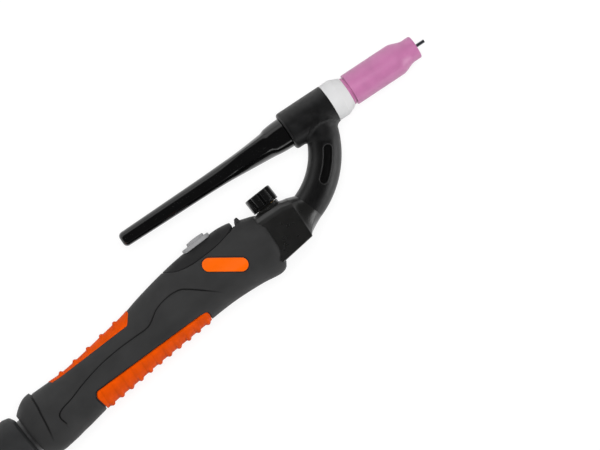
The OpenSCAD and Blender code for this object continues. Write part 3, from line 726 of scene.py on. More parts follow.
@dataclass
class NozzleEnd(SubAssembly):
    """Electrode, gas cup and gasket, all round the head's axis."""

    gasket_d: float = 23.2
    gasket_l: float = 12.2
    gasket_nose: float = 5.5
    gasket_bore_d: float = 12.9
    cup_l: float = 47.4
    cup_d: float = 19.3
    collar_l: float = 1.2
    collar_step: float = 1.0
    groove_l: float = 0.75
    groove_step: float = 1.8
    cup_mouth_d: float = 14.1
    cup_bore_d: float = 11.0
    electrode_d: float = 2.0
    electrode_l: float = 175.0
    electrode_out: float = 6.2

    def build(self) -> None:
        """Makes the pieces of the nozzle end."""
        self.put("cup_gasket_ring", self.gasket(), PTFE, Body.HEAD, ["cup_gasket"])
        self.put("ceramic_gas_cup", self.cup(), CERAMIC, Body.HEAD, ["gas_cup"])
        self.put("ground_electrode", self.electrode(), TUNGSTEN, Body.ELECTRODE, ["tungsten_electrode"])

    def gasket(self) -> bmesh.types.BMesh:
        """Returns the gasket: a ring with a conical front."""
        r, bore = self.gasket_d / 2, self.gasket_bore_d / 2
        profile = rounded([
            (0, bore, 0.2), (0, r, 0.3), (self.gasket_l - self.gasket_nose, r, 1.2),
            (self.gasket_l, r - 2.4, 0.5), (self.gasket_l, bore, 0.2),
        ])
        return spun(profile, 128, closed=True)

    def cup(self) -> bmesh.types.BMesh:
        """Returns the gas cup, with a collar at the gasket and a waist before its mouth."""
        base, r, mouth = self.gasket_l, self.cup_d / 2, self.cup_mouth_d / 2
        front = base + self.cup_l
        shoulder, throat = front - 14.4, front - 4.6
        waist = np.linspace(0, 1, 18)
        falling = np.column_stack((shoulder + (throat - shoulder) * waist, r + (mouth - r) * rise(waist)))
        collar, body = base + self.collar_l, base + self.collar_l + self.groove_l
        outside = rounded([
            (base, 6.5, 0), (base, r - self.collar_step, 0.25), (collar, r - self.collar_step, 0.2),
            (collar, r - self.groove_step, 0.1), (body, r - self.groove_step, 0.1), (body, r, 0.35),
            (shoulder, r, 0),
        ], closed=False)
        bore, inner = self.cup_bore_d / 2, r - 2.1
        rim = rounded([
            (throat, mouth, 0), (front, mouth, 0.7), (front, bore, 0.5), (throat, bore, 0),
            (shoulder - 1, inner, 3), (base + 10.5, inner, 0.5), (base + 9.5, 6.5, 0.3), (base, 6.5, 0.2),
        ], closed=False)
        return spun(np.concatenate((outside[:-1], falling, rim[1:-1])), 128, closed=True)

    def electrode(self) -> bmesh.types.BMesh:
        """Returns the electrode: a rod with a blunt ground tip."""
        tip = self.gasket_l + self.cup_l + self.electrode_out
        r = self.electrode_d / 2
        profile = rounded([
            (tip, 0, 0), (tip, r, 0.35), (tip - self.electrode_l, r, 0.2), (tip - self.electrode_l, 0, 0),
        ], closed=False)
        return spun(profile, 40)


# ---- Head and neck ----


@dataclass
class Neck(SubAssembly):
    """Rubber head and the bent rubber neck, one moulding that is split where the neck bends."""

    head_d: float = 23.4
    head_l: float = 29.8
    head_round: float = 3.4
    core_d: float = 16.6
    cap_hole_d: float = 15.4
    neck_d: float = 19.3
    centre: Point2 = (-60.0, 5.0)
    bend_r: float = 50.2
    head_seam: float = -25.0
    housing_seam: float = -70.0
    wall: float = 2.0
    saddle: float = 2.6
    blend_inset: float = 4.0
    badge_w: float = 4.8
    badge_from: float = 5.0
    badge_to: float = 22.4
    badge_off: float = 1.0
    badge_depth: float = 0.6
    tubes: tuple[tuple[str, float, float, float], ...] = (
        ("return_tube", 3.2, 0.0, 2.9), ("gas_tube", -2.6, 3.5, 2.0), ("water_tube", -2.6, -3.5, 2.0),
    )

    def build(self) -> None:
        """Makes the head, the neck and the tubes in it."""
        self.put("head_moulding", self.head(), RUBBER, Body.HEAD, ["head_rubber"])
        neck = self.put("neck_moulding", self.neck(), SHADED_NECK_RUBBER, None, ["neck_rubber"])
        self.bend(neck)
        for node, out, across, radius in self.tubes:
            tube = self.put(f"neck_{node}", self.tube(out, across, radius), COPPER, None, [node])
            self.bend(tube)

    def arc_point(self, angle: float) -> np.ndarray:
        """Returns the point of the neck's centre line at an angle below +X, in degrees."""
        turn = math.radians(angle)
        return np.array((*self.centre, 0)) + self.bend_r * np.array((math.cos(turn), math.sin(turn), 0))

    def bend(self, piece: bpy.types.Object) -> None:
        """Bakes a piece's placement into its mesh; points a little inside each end of the neck are worked out but not
        used.
        """
        start, end = (self.arc_point(a) for a in (self.housing_seam, self.head_seam))
        inset = (end - start) / np.linalg.norm(end - start) * self.blend_inset
        places = [self.origin() + Vector(p) * MM for p in (start + inset, end - inset)]
        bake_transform(piece)

    def skin(self, flat: np.ndarray) -> np.ndarray:
        """Wraps (u along the neck, v round it, height) rows round the neck's arc."""
        turn = np.radians(self.head_seam) - flat[:, 0] / self.bend_r
        round_it = flat[:, 1] / (self.neck_d / 2)
        r = self.neck_d / 2 + flat[:, 2]
        out = self.bend_r + r * np.sin(round_it)
        return np.column_stack((
            self.centre[0] + out * np.cos(turn), self.centre[1] + out * np.sin(turn), r * np.cos(round_it)
        ))

    def head(self) -> bmesh.types.BMesh:
        """Returns the head: a sleeve round the brass core, with the neck's root flared into it."""
        r, core, hole = self.head_d / 2, self.core_d / 2, self.cap_hole_d / 2
        sleeve = spun(rounded([
            (0, core, 0.1), (0, r, 0.45), (-self.head_l, r, self.head_round), (-self.head_l, hole, 0.5),
            (-self.head_l + 2, hole, 0.1), (-self.head_l + 2, core, 0.1),
        ]), 128, closed=True)
        half = math.pi * self.neck_d / 2
        root = Blank.grid((-17.5, 0), (-half, half), 0.55)
        flat = root.flat()
        for _ in range(3):
            skin = self.skin(flat)
            gap = np.hypot(skin[:, 1], skin[:, 2]) - r
            short = np.clip(self.saddle - gap, 0, self.saddle * 0.999)
            flat[:, 2] = self.saddle - np.sqrt(self.saddle**2 - short**2)
        for vert, place in zip(root.mesh.verts, self.skin(flat)):
            vert.co = place
        bmesh.ops.remove_doubles(root.mesh, verts=root.mesh.verts, dist=1e-3)
        rims = [edge for edge in root.mesh.edges if edge.is_boundary]
        bmesh.ops.holes_fill(root.mesh, edges=rims, sides=0)
        whole = cut(sleeve, tidy(root.mesh), Cut.JOIN)
        bore = spun([(-self.head_l + 2.2, 0), (-self.head_l + 2.2, core), (1, core), (1, 0)], 128)
        return tidy(cut(whole, bore, Cut.AWAY))

    def badge_distance(self, flat: np.ndarray) -> np.ndarray:
        """Returns how far flat points are outside the badge's outline, on the nearer flank."""
        v = flat[:, 1]
        half_turn = math.pi * self.neck_d / 2
        flank = np.where(v > half_turn / 2, half_turn - v, v)
        run = np.array([[self.badge_from, self.badge_off], [self.badge_to, self.badge_off]])
        return distance_to(run, np.column_stack((flat[:, 0], flank))) - self.badge_w / 2

    def neck(self) -> bmesh.types.BMesh:
        """Returns the neck: a bent tube with an oblong recess in each flank."""
        length = math.radians(self.head_seam - self.housing_seam) * self.bend_r
        half = math.pi * self.neck_d / 2
        sheet = Blank.grid((0, length), (-half / 2, 1.5 * half), 0.7)
        sheet.refine(lambda flat: np.abs(self.badge_distance(flat) - 0.1), 0.45, 0.7, 3)
        flat = sheet.flat()
        off = self.badge_distance(flat[:, :2])
        rim = np.clip(1 - ((off - 0.3) / 0.32) ** 2, 0, 1)
        heights = 0.3 * rim - self.badge_depth * (1 - rise((off + 0.2) / 0.3))
        # The tone paints shade inside each badge recess and a painted highlight along the raised rim round it.
        layer = sheet.mesh.verts.layers.float.new("tone")
        for vert, place, value in zip(sheet.mesh.verts, self.skin(np.column_stack((flat[:, :2], heights))), off):
            vert.co = place
            vert[layer] = float(1 - rise((value + 0.1) / 0.2) - 0.4 * np.clip(1 - ((value - 0.3) / 0.3) ** 2, 0, 1))
        made = tidy(sheet.mesh)
        bmesh.ops.triangulate(made, faces=made.faces)
        inner = Blank.grid((0, length), (-half / 2, 1.5 * half), 1.4)
        inner_flat = inner.flat()
        inner_flat[:, 2] = -self.wall
        for vert, place in zip(inner.mesh.verts, self.skin(inner_flat)):
            vert.co = place
        made = joined(made, tidy(inner.mesh))
        rims = [edge for edge in made.edges if edge.is_boundary]
        for end in (self.head_seam, self.housing_seam):
            middle = Vector(self.arc_point(end))
            near = [e for e in rims if (e.verts[0].co - middle).length < self.neck_d * 0.7]
            bmesh.ops.bridge_loops(made, edges=near)
        return tidy(made)

    def tube(self, out: float, across: float, radius: float) -> bmesh.types.BMesh:
        """Returns one of the neck's tubes.

        Args:
            out: how far it lies outside the neck's centre line.
            across: how far it lies to the left of it.
            radius: its own radius.

        Returns:
            A closed mesh.
        """
        angles = np.radians(np.linspace(self.head_seam, self.housing_seam - 2, 36))[:, None]
        turns = np.linspace(0, FULL_TURN, 28, endpoint=False)[None, :]
        reach = self.bend_r + out + radius * np.sin(turns)
        return rolled(np.stack((
            self.centre[0] + reach * np.cos(angles),
            self.centre[1] + reach * np.sin(angles),
            (across + radius * np.cos(turns)) + 0 * angles,
        ), axis=2))


# ---- Back cap ----


@dataclass
class BackCap(SubAssembly):
    """Long back cap, fluted behind its collar."""

    start: float = 30.0
    length: float = 112.8
    flutes: int = 5
    ridge: float = -25.0
    scoop: float = 0.65
    scoop_start: Point2 = (40.0, 43.4)
    scoop_end: Point2 = (56.0, 80.0)
    tip_l: float = 2.8
    spigot_r: float = 5.2
    spigot_l: float = 9.0
    bore_r: float = 1.6
    cone: Stations = Stations((
        (30.0, 9.25), (36.0, 9.0), (44.0, 8.05), (52.0, 7.35), (60.0, 6.7), (68.0, 6.1), (76.0, 5.6), (84.0, 5.32),
        (100.0, 5.08), (116.0, 4.85), (140.0, 4.5),
    ))

    def build(self) -> None:
        """Makes the back cap."""
        self.put("fluted_back_cap", self.cap(), CAP, Body.CAP, ["back_cap"])

    def radii(self, along: float, turns: np.ndarray) -> np.ndarray:
        """Returns the cap's radius at a distance behind the head's front, for each turn."""
        (start, deep), (fading, end) = self.scoop_start, self.scoop_end
        depth = self.scoop * float(rise((along - start) / (deep - start)))
        depth *= float(1 - rise((along - fading) / (end - fading)))
        channel = np.abs(np.cos(self.flutes / 2 * (turns - math.radians(self.ridge)) + QUARTER_TURN))
        return float(self.cone(along)) - depth * channel**0.8

    def cap(self) -> bmesh.types.BMesh:
        """Returns the cap: collar, flutes and a long taper to a round tip."""
        turns = math.radians(self.ridge) + np.linspace(0, FULL_TURN, 180, endpoint=False)
        end = self.start + self.length
        body = [(a, self.radii(a, turns)) for a in np.arange(self.start + 0.3, end - self.tip_l, 0.7)]
        tip_r = float(self.cone(end - self.tip_l))
        bend = np.linspace(0, QUARTER_TURN, 10)
        tip = [
            (end - self.tip_l * (1 - math.sin(b)), turns * 0 + tip_r - 2.6 * (1 - math.cos(b))) for b in bend
        ]
        inside = [(self.start - self.spigot_l, self.bore_r), (self.start - self.spigot_l, self.spigot_r - 0.3),
                  (self.start - self.spigot_l + 0.3, self.spigot_r), (self.start, self.spigot_r),
                  (self.start, float(self.cone(self.start)) - 0.35)]
        levels = [(a, turns * 0 + r) for a, r in inside] + body + tip
        rings = np.stack([
            np.column_stack((np.full(len(turns), -a), r * np.sin(turns), r * np.cos(turns))) for a, r in levels
        ])
        return rolled(rings)


# ---- Gas valve ----


@dataclass
class GasValve(SubAssembly):
    """Valve housing between neck and handle, and the knob on it."""

    neck: Neck
    base: Point2 = (-62.8, -29.2)
    lean: float = 4.6
    knob_d: float = 17.0
    knob_h: float = 9.3
    lobes: int = 8
    front_x: float = -51.2
    rear_x: float = -73.0
    end_x: float = -86.0
    sides: int = 144

    def build(self) -> None:
        """Makes the housing and the knob."""
        self.put("valve_housing_moulding", self.housing(), HOUSING, Body.HANDLE, ["valve_housing"])
        self.put("lobed_valve_knob", self.knob(), KNOB, Body.KNOB, ["valve_knob"])

    def axis(self) -> Matrix:
        """Returns the matrix that stands a spun piece on the valve's axis."""
        lean = math.radians(self.lean)
        return standing(self.base, (-math.sin(lean), math.cos(lean)))

    def section(self, x: float, top: float, low: float, half: float, corner: float) -> np.ndarray:
        """Returns a ring of the housing: round over the top and square below.

        Args:
            x: where it lies.
            top: height of its top.
            low: height of its underside.
            half: half its width.
            corner: radius of its lower corners.

        Returns:
            The ring's points, from the middle of its underside round by the left flank.
        """
        outline = rounded([
            (0, low, 0), (half, low, corner), (half, top, half * 0.86), (-half, top, half * 0.86),
            (-half, low, corner),
        ], step=0.4)
        run = np.concatenate(([0], np.cumsum(np.linalg.norm(np.diff(outline, axis=0, append=outline[:1]), axis=1))))
        looped = np.concatenate((outline, outline[:1]))
        at = np.linspace(0, run[-1], self.sides, endpoint=False)
        z, y = (np.interp(at, run, looped[:, k]) for k in (0, 1))
        return np.column_stack((np.full(self.sides, x), y, z))

    def housing(self) -> bmesh.types.BMesh:
        """Returns the housing: a flare from the neck, a block, a tail for the handle and a boss."""
        turns = np.linspace(0, FULL_TURN, self.sides, endpoint=False)
        seam = math.radians(self.neck.housing_seam)
        out = self.neck.bend_r + self.neck.neck_d / 2 * np.cos(turns)
        root = np.column_stack((
            self.neck.centre[0] + out * math.cos(seam), self.neck.centre[1] + out * math.sin(seam),
            self.neck.neck_d / 2 * np.sin(turns),
        ))
        ahead = np.array((math.sin(seam), -math.cos(seam), 0.0))
        front = self.section(self.front_x, -31.4, -57.9, 12.5, 1.2)
        rings = [root]
        height = ((root[:, 1] - root[:, 1].min()) / np.ptp(root[:, 1]))[:, None]
        for w in np.linspace(0.06, 0.97, 16):
            grown = root + ahead * 9.5 * w * (1 - height)
            rings.append(grown + (front - grown) * w ** (1.7 - 0.75 * height))
        rings += [self.section(self.front_x + 0.25, -31.5, -57.7, 12.35, 1.2), front]
        for w in np.linspace(0.03, 1, 16):
            rings.append(self.section(
                self.front_x + (self.rear_x - self.front_x) * w, -31.4 + 1.25 * float(rise(w / 0.3)),
                -57.9 - 3.3 * w, 12.5 + 0.5 * w, 1.0
            ))
        for x, half in ((self.rear_x - 0.1, 12.0), (self.end_x + 0.4, 11.6), (self.end_x, 11.2)):
            rings.append(self.section(x, -31.4, -60.0, half, 1.0))
        boss = spun(rounded([(-9, 0, 0), (-9, 7.3, 0), (0.1, 7.3, 0.6), (0.1, 0, 0)], closed=False), 64)
        bmesh.ops.transform(boss, matrix=self.axis(), verts=boss.verts)
        return tidy(cut(rolled(np.stack(rings)), boss, Cut.JOIN))

    def knob(self) -> bmesh.types.BMesh:
        """Returns the knob: lobes over a plain flange, hollow below and dished on top."""
        turns = np.linspace(0, FULL_TURN, 240, endpoint=False)
        off = np.abs((turns * self.lobes / FULL_TURN) % 1 - 0.5) * 2
        r, h = self.knob_d / 2, self.knob_h
        valley = 0.35 * off**2 + 1.25 * np.exp(-(((1 - off) * math.pi * r / self.lobes / 0.75) ** 2))
        levels = [(0.25, r - 0.4, 0.0), (0.5, r - 0.1, 0.0), (1.3, r - 0.05, 0.0), (1.5, r - 0.3, 0.25)]
        levels += [(1.62, r, 1.0)] + [(a, r + 0.1, 1.0) for a in np.linspace(1.9, h - 0.7, 9)]
        levels += [(h - 0.35, r - 0.05, 1.0), (h - 0.1, r - 0.35, 1.0), (h, r - 0.8, 0.9)]
        levels += [(h, 6.4, 0.15), (h - 0.15, 6.1, 0.0), (h - 0.7, 5.8, 0.0), (h - 0.8, 5.5, 0.0)]
        hollow = [(5.1, 2.21), (2.7, 2.21), (2.6, 2.4), (2.6, 6.2), (2.5, 6.4), (0.3, 6.4), (0.25, 6.5)]
        levels = [(a, b, 0.0) for a, b in hollow] + levels
        rings = np.stack([
            np.column_stack((np.full(len(turns), along), r * np.cos(turns), r * np.sin(turns)))
            for along, r in ((a, b - share * valley) for a, b, share in levels)
        ])
        made = rolled(rings)
        bmesh.ops.transform(made, matrix=self.axis(), verts=made.verts)
        return made


# ---- Handle ----


@dataclass(frozen=True)
class HandleForm:
    """Outer form of the handle, which the skins are pressed round.

    A flat point is (u, v): u runs back from the handle's front edge, and v runs round it, 0 on the left
    flank, positive over the top, with a radian every ``girth`` millimetres.
    """

    front_x: float = -70.7
    length: float = 163.8
    tail: Point2 = (-234.8, -62.2)
    tail_drop: float = 5.5
    tail_fade: float = 22.0
    dome_r: float = 16.92
    dome_turn: float = 42.6
    girth: float = 17.0
    flank: float = 1.1
    nose: float = 1.5
    top: Stations = Stations((
        (0, -30.2), (3, -29.0), (7, -27.8), (10, -26.9), (13.2, -25.7), (18, -24.6), (25, -24.1), (47, -25.4),
        (65, -28.2), (83, -32.2), (96, -35.8), (111, -38.6), (125, -41.2), (138, -43.2), (151, -44.3),
        (157, -44.5), (163.8, -44.1),
    ))
    low: Stations = Stations((
        (0, -62.8), (3, -65.2), (7, -65.9), (18, -64.7), (35, -64.3), (47, -65.0), (62, -66.5), (80, -68.3),
        (95, -69.9), (107, -71.5), (127, -74.0), (135, -75.6), (147, -78.2), (155, -80.1), (163.8, -80.8),
    ))
    side: Stations = Stations((
        (0, -47), (29, -49), (54, -50.8), (79, -53.8), (104, -57.5), (129, -60.8), (149, -62.2), (163.8, -62.2),
    ))
    half: Stations = Stations((
        (0, 15.4), (3, 16.8), (8, 17.6), (20, 18.4), (44, 18.3), (74, 17.0), (109, 15.5), (129, 15.3),
        (147, 16.6), (163.8, 18.6),
    ))

    @property
    def end(self) -> float:
        """Where the skin ends behind the front edge, along its surface."""
        return self.length + self.dome_r * math.radians(self.dome_turn)

    @property
    def seam(self) -> float:
        """Where the two shells meet over the top, round the handle."""
        return self.girth * QUARTER_TURN

    def skin(self, u: np.ndarray, v: np.ndarray) -> np.ndarray:
        """Returns the points of the form's surface at (u, v), one a row."""
        turn = v / self.girth
        upright = np.minimum(u, self.length)
        top, low, mid, half = (line(upright) for line in (self.top, self.low, self.side, self.half))
        bend = np.maximum(u - self.length, 0) / self.dome_r
        share = rise((u - self.length + self.tail_fade) / self.tail_fade)
        power = self.flank + (1 - self.flank) * share
        up, out = np.sin(turn), np.cos(turn)
        nose = self.nose * (1 - 0.75 * rise(up))
        short = np.clip(nose - u, 0, nose * 0.999)
        inset = self.dome_r * (1 - np.cos(bend)) + nose - np.sqrt(nose**2 - short**2)
        up_by = np.sign(up) * np.abs(up) ** power
        out_by = np.sign(out) * np.abs(out) ** power * (half - inset)
        height = up_by * (np.where(up > 0, top - mid, mid - low) - inset)
        drop = math.radians(self.tail_drop)
        past = np.where(u > self.length, self.dome_r * np.sin(bend), u - self.length)
        tilted_x = self.tail[0] - past * math.cos(drop) - height * math.sin(drop)
        tilted_y = self.tail[1] - past * math.sin(drop) + height * math.cos(drop)
        x = (1 - share) * (self.front_x - u) + share * tilted_x
        y = (1 - share) * (mid + height) + share * tilted_y
        return np.column_stack((x, y, out_by))

    def press(self, flat: np.ndarray) -> np.ndarray:
        """Turns (u, v, height) rows into torch axes."""
        u, v, height = flat.T
        step = 0.02
        here = self.skin(u, v)
        along = self.skin(u + step, v) - self.skin(u - step, v)
        round_it = self.skin(u, v + step) - self.skin(u, v - step)
        normal = np.cross(round_it, along)
        normal /= np.maximum(np.linalg.norm(normal, axis=1), 1e-9)[:, None]
        return here + normal * height[:, None]

    def flat(self, points: np.ndarray) -> np.ndarray:
        """Turns (x, y) points of the left side view into (u, v) on the left flank."""
        u = np.clip(self.front_x - points[:, 0], 0, self.length)
        top, low, mid = self.top(u), self.low(u), self.side(u)
        share = (points[:, 1] - mid) / np.where(points[:, 1] > mid, top - mid, mid - low)
        sine = np.sign(share) * np.clip(np.abs(share), 0, 1) ** (1 / self.flank)
        return np.column_stack((u, np.arcsin(sine) * self.girth))

    def from_above(self, points: np.ndarray) -> np.ndarray:
        """Turns (x, z) points seen from the top into (u, v)."""
        u = self.front_x - points[:, 0]
        share = points[:, 1] / self.half(u)
        cosine = np.sign(share) * np.clip(np.abs(share), 0, 1) ** (1 / self.flank)
        return np.column_stack((u, np.arccos(cosine) * self.girth))


@dataclass
class Handle(SubAssembly):
    """Two shells, two grips, two badges and the switch module, all pressed round one form."""

    form: HandleForm
    wall: float = 1.8
    pocket: float = 1.3
    gap: float = 0.5
    valley: float = 1.1
    cell: float = 1.5
    grip_proud: float = 0.3
    upper_ribs: int = 5
    upper_rib_x: float = -172.2
    upper_pitch: float = 10.2
    lower_ribs: int = 11
    lower_rib_x: float = -127.4
    lower_pitch: float = 7.05
    badge_at: Point2 = (-101.8, -43.9)
    badge_size: Point2 = (26.4, 8.0)
    badge_turn: float = -33.5
    screw_r: float = 3.1
    screws: tuple[Point2, ...] = ((-101.0, -57.6), (-150.0, -42.0), (-206.0, -51.0))
    trigger_at: Point2 = (-108.2, -24.75)
    trigger_lean: float = 3.6
    button_size: Point2 = (18.4, 10.0)
    tab_x: float = -80.6
    module_seam: tuple[Point2, ...] = (
        (-84.6, -26.0), (-86.0, -27.8), (-89.5, -29.6), (-98.4, -31.9), (-108.0, -33.0), (-117.3, -33.3),
        (-126.1, -31.9), (-134.2, -27.7),
    )
    panel_line: tuple[Point2, ...] = (
        (-110.0, -57.5), (-114.5, -53.9), (-129.0, -42.6), (-133.0, -41.2), (-139.6, -41.2), (-147.8, -43.3),
        (-157.3, -49.0), (-166.7, -49.7), (-177.6, -50.2), (-191.3, -51.9), (-205.1, -55.3), (-217.6, -59.6),
        (-225.5, -62.5), (-227.0, -64.6), (-226.2, -69.0),
    )
    crease_back: tuple[float, ...] = (-2.6, -1.4, 0.8, 3.5)
    crease_round: tuple[float, ...] = (1.571, 0.6, 0.0, -0.6)
    groove_half: float = 0.5
    groove_depth: float = 0.45
    panel_lift: float = 0.4
    crease_half: float = 0.7
    crease_depth: float = 0.4
    valley_depth: float = 0.3

    def build(self) -> None:
        """Makes the skins of the handle."""
        left = self.shell(screw_holes=False)
        right = mirrored(self.shell(screw_holes=True))
        self.put("left_handle_shell", left, SHELL, Body.HANDLE, ["left_shell"])
        self.put("right_handle_shell", right, SHELL, Body.HANDLE, ["right_shell"])
        self.put("upper_soft_grip", self.upper_grip(), GRIP, Body.HANDLE, ["upper_grip_pad"])
        self.put("lower_soft_grip", self.lower_grip(), GRIP, Body.HANDLE, ["lower_grip_pad"])
        badge = self.badge()
        self.put("right_pill_badge", mirrored(badge), BADGE, Body.HANDLE, ["right_badge"])
        self.put("left_pill_badge", badge, BADGE, Body.HANDLE, ["left_badge"])
        self.put("switch_module_skin", self.module(), MODULE, Body.HANDLE, ["switch_module"])

    # Outlines in the flat.

    def upper_outline(self) -> np.ndarray:
        """Returns the upper grip's outline, which crosses the top."""
        edge = rounded([
            (-162.4, -34.6, 0), (-162.5, -36.2, 1.5), (-167.0, -41.9, 1.6), (-219.6, -45.5, 1.0), (-221.2, -44.0, 0),
        ], step=1.2, closed=False)
        flat = self.form.flat(edge)
        over = flat[::-1] * (1, -1) + (0, 2 * self.form.seam)
        return np.concatenate((over, flat))[::-1]

    def lower_outline(self) -> np.ndarray:
        """Returns the lower grip's outline, which passes under the handle."""
        edge = rounded([
            (-124.5, -65.9, 0), (-124.5, -60.5, 3.2), (-201.9, -63.8, 2.6), (-203.6, -67.0, 2.2), (-201.8, -74.4, 0),
        ], step=1.2, closed=False)
        flat = self.form.flat(edge)
        under = flat[::-1] * (1, -1) + (0, -2 * self.form.seam)
        return np.concatenate((flat, under))[::-1]

    def badge_outline(self) -> np.ndarray:
        """Returns the left badge's outline."""
        turn = math.radians(self.badge_turn)
        pill = rounded([(*p, 0) for p in stadium(*self.badge_size)], step=1.0)
        spin = np.array(((math.cos(turn), math.sin(turn)), (-math.sin(turn), math.cos(turn))))
        return self.form.flat(pill @ spin + self.badge_at)[::-1]

    def seam_line(self, off: float) -> np.ndarray:
        """Returns the seam round the module in the flat, moved down by off and more at its front."""
        line = self.form.flat(curve_through(self.module_seam, 1.0))
        wedge = 1 - rise((line[:, 0] - 15.5) / 5.5)
        line[:, 1] -= off * (1 + 3.6 * wedge)
        line[-1, 1] = max(line[-1, 1], self.form.seam - 0.3)
        return line

    def shell_outline(self) -> np.ndarray:
        """Returns the left shell's outline, open for the module and the pry slot."""
        seam, form = self.form.seam - 0.04, self.form
        line = self.seam_line(0.22)
        slot_v = float(form.flat(np.array([[-84.5, -28.6]]))[0, 1])
        line = line[line[:, 0] > 14.9]
        line = line[line[:, 1] < seam - 0.4]
        return np.concatenate((
            [(0, -seam), (form.end, -seam), (form.end, seam), (63.6, seam)], line[::-1],
            [(14.9, slot_v), (12.9, slot_v), (12.2, seam), (0, seam)],
        ))

    # Heights in the flat.

    def shell_relief(self, flat: np.ndarray) -> tuple[np.ndarray, np.ndarray]:
        """Returns how high the shell's surface stands, and how much painted shade it gets, at flat points."""
        panel = self.form.flat(curve_through(self.panel_line))
        off = distance_to(panel, flat)
        fade = rise((flat[:, 0] - 39.0) / 12)
        groove = np.clip(1 - (off / self.groove_half) ** 2, 0, 1) ** 1.2 * fade
        edge = np.interp(flat[:, 0], panel[:-4, 0], panel[:-4, 1])
        inside = (flat[:, 1] < edge) & (flat[:, 0] > 39) & (flat[:, 0] < 156)
        lift = self.panel_lift * np.where(inside, 1 - rise((off - 0.4) / 7.5), 0.0) * fade
        tail_u = self.form.length + np.array(self.crease_back)
        tail_v = self.form.girth * np.array(self.crease_round)
        back = distance_to(np.column_stack((tail_u, tail_v)), flat)
        fade_tail = rise((flat[:, 1] + 14) / 12)
        crease = np.clip(1 - (back / self.crease_half) ** 2, 0, 1) * fade_tail
        crease_u = np.interp(-flat[:, 1], -tail_v, tail_u)
        lip = 1.0 * rise((flat[:, 1] + 6) / 28) + 0.3 * fade_tail
        past = flat[:, 0] - crease_u
        behind = rise((past + 0.1) / 0.7) * (1 - rise(past / 14)) * lip
        grip = self.lower_outline()
        beside = distance_to(np.concatenate((grip, grip[:1])), flat) - self.gap
        valley = (1 - rise(beside / self.valley)) * (flat[:, 0] > 58)
        # Painted shade: the tone darkens the panel groove, the tail crease and the valley beside the lower grip.
        tone = np.clip(groove + crease + 0.9 * valley, 0, 1)
        hollow = self.groove_depth * groove + self.crease_depth * crease + self.valley_depth * valley
        return lift + behind - hollow, tone

    def ribs(self, flat: np.ndarray, first_x: float, pitch: float, count: int) -> np.ndarray:
        """Returns how far behind the nearest rib's crest points are, in pitches from -0.5 to 0.5."""
        place = (flat[:, 0] - (self.form.front_x - first_x)) / pitch
        return place - np.clip(np.round(place), 0, count - 1)

    # Pieces.

    def pressed(
        self, blank: Blank, top: float, relief: Callable[[np.ndarray], tuple[np.ndarray, np.ndarray]]
    ) -> bmesh.types.BMesh:
        """Adds a relief to a blank's upper skin and presses it round the form.

        Args:
            blank: the flat piece.
            top: height of its upper face.
            relief: returns the height and the painted shade (tone) at flat points.

        Returns:
            The pressed mesh.
        """
        flat = blank.flat()
        height, tone = relief(flat[:, :2])
        low = flat[:, 2].min()
        share = rise((flat[:, 2] - low) / (top - low) * 2 - 1)
        flat[:, 2] += height * share
        for vert, place in zip(blank.mesh.verts, flat):
            vert.co = place
        return blank.press(self.form.press, tone * (share > 0.5))

    def shell(self, screw_holes: bool) -> bmesh.types.BMesh:
        """Returns a left-hand shell, with screw holes if it is to become the right one."""
        made = plate(self.shell_outline(), -self.wall, 0)
        tools = [self.upper_outline(), self.lower_outline(), self.badge_outline()]
        floors = [-self.pocket, -self.pocket, -0.7]
        for outline, floor in zip(tools, floors):
            made = cut(made, plate(widened(outline, self.gap), floor, 2), Cut.AWAY)
        sleeves = []
        if screw_holes:
            for x, y in self.screws:
                hole = stadium(self.screw_r * 2 + 0.02, self.screw_r * 2) + (x, y)
                made = cut(made, plate(self.form.flat(hole)[::-1], -5, 2), Cut.AWAY)
                sleeves.append(self.screw_sleeve(x, y))
        soften(made, 0, 0.28)
        blank = Blank(made)
        blank.slice(self.cell)
        panel = self.form.flat(curve_through(self.panel_line))
        blank.refine(lambda flat: distance_to(panel, flat), 0.75, self.cell, 3)
        blank.refine(lambda flat: np.abs(flat[:, 0] - self.form.length - 0.5), 2.4, self.cell, 2)
        grip = self.lower_outline()
        blank.refine(lambda flat: distance_to(grip, flat), self.gap + self.valley, self.cell, 2)
        skin = self.pressed(blank, 0, self.shell_relief)
        return joined(skin, self.tab(), *sleeves)

    def screw_sleeve(self, x: float, y: float) -> bmesh.types.BMesh:
        """Returns the tube that leads from the skin down to a screw's head."""
        v = float(self.form.flat(np.array([[x, y]]))[0, 1])
        skin_z = float(self.form.skin(np.array([self.form.front_x - x]), np.array([v]))[0, 2])
        r = self.screw_r
        tube = spun(rounded([
            (8.0, r, 0), (skin_z - 1.0, r, 0), (skin_z - 1.0, r + 0.9, 0.2), (8.0, r + 0.9, 0.1),
        ]), 40, closed=True)
        turn = Matrix.Rotation(-QUARTER_TURN, 4, "Y")
        bmesh.ops.transform(tube, matrix=Matrix.Translation((x, y, 0)) @ turn, verts=tube.verts)
        return tube

    def tab(self) -> bmesh.types.BMesh:
        """Returns half of the fin in front of the pry slot."""
        x = self.tab_x
        return plate(rounded([
            (x - 3.4, -28.9, 0.1), (x + 0.5, -28.0, 0.1), (x - 0.1, -25.4, 0.3), (x - 0.7, -24.8, 0.35),
            (x - 1.8, -25.2, 0.4), (x - 2.6, -27.2, 0.2),
        ]), 0.02, 4.2, 0.4, 2)

    def upper_grip(self) -> bmesh.types.BMesh:
        """Returns the upper grip, with round beads across it."""
        def relief(flat: np.ndarray) -> tuple[np.ndarray, np.ndarray]:
            off = self.ribs(flat, self.upper_rib_x, self.upper_pitch, self.upper_ribs) * self.upper_pitch
            away = np.abs(flat[:, 1] - self.form.seam)
            bead = self.bead(off, 1.3) * (1 - rise((away - 2.5) / 7.5)) * self.inside(self.upper_outline(), flat)
            return 1.1 * bead, 0 * bead
        return self.grip(self.upper_outline(), relief)

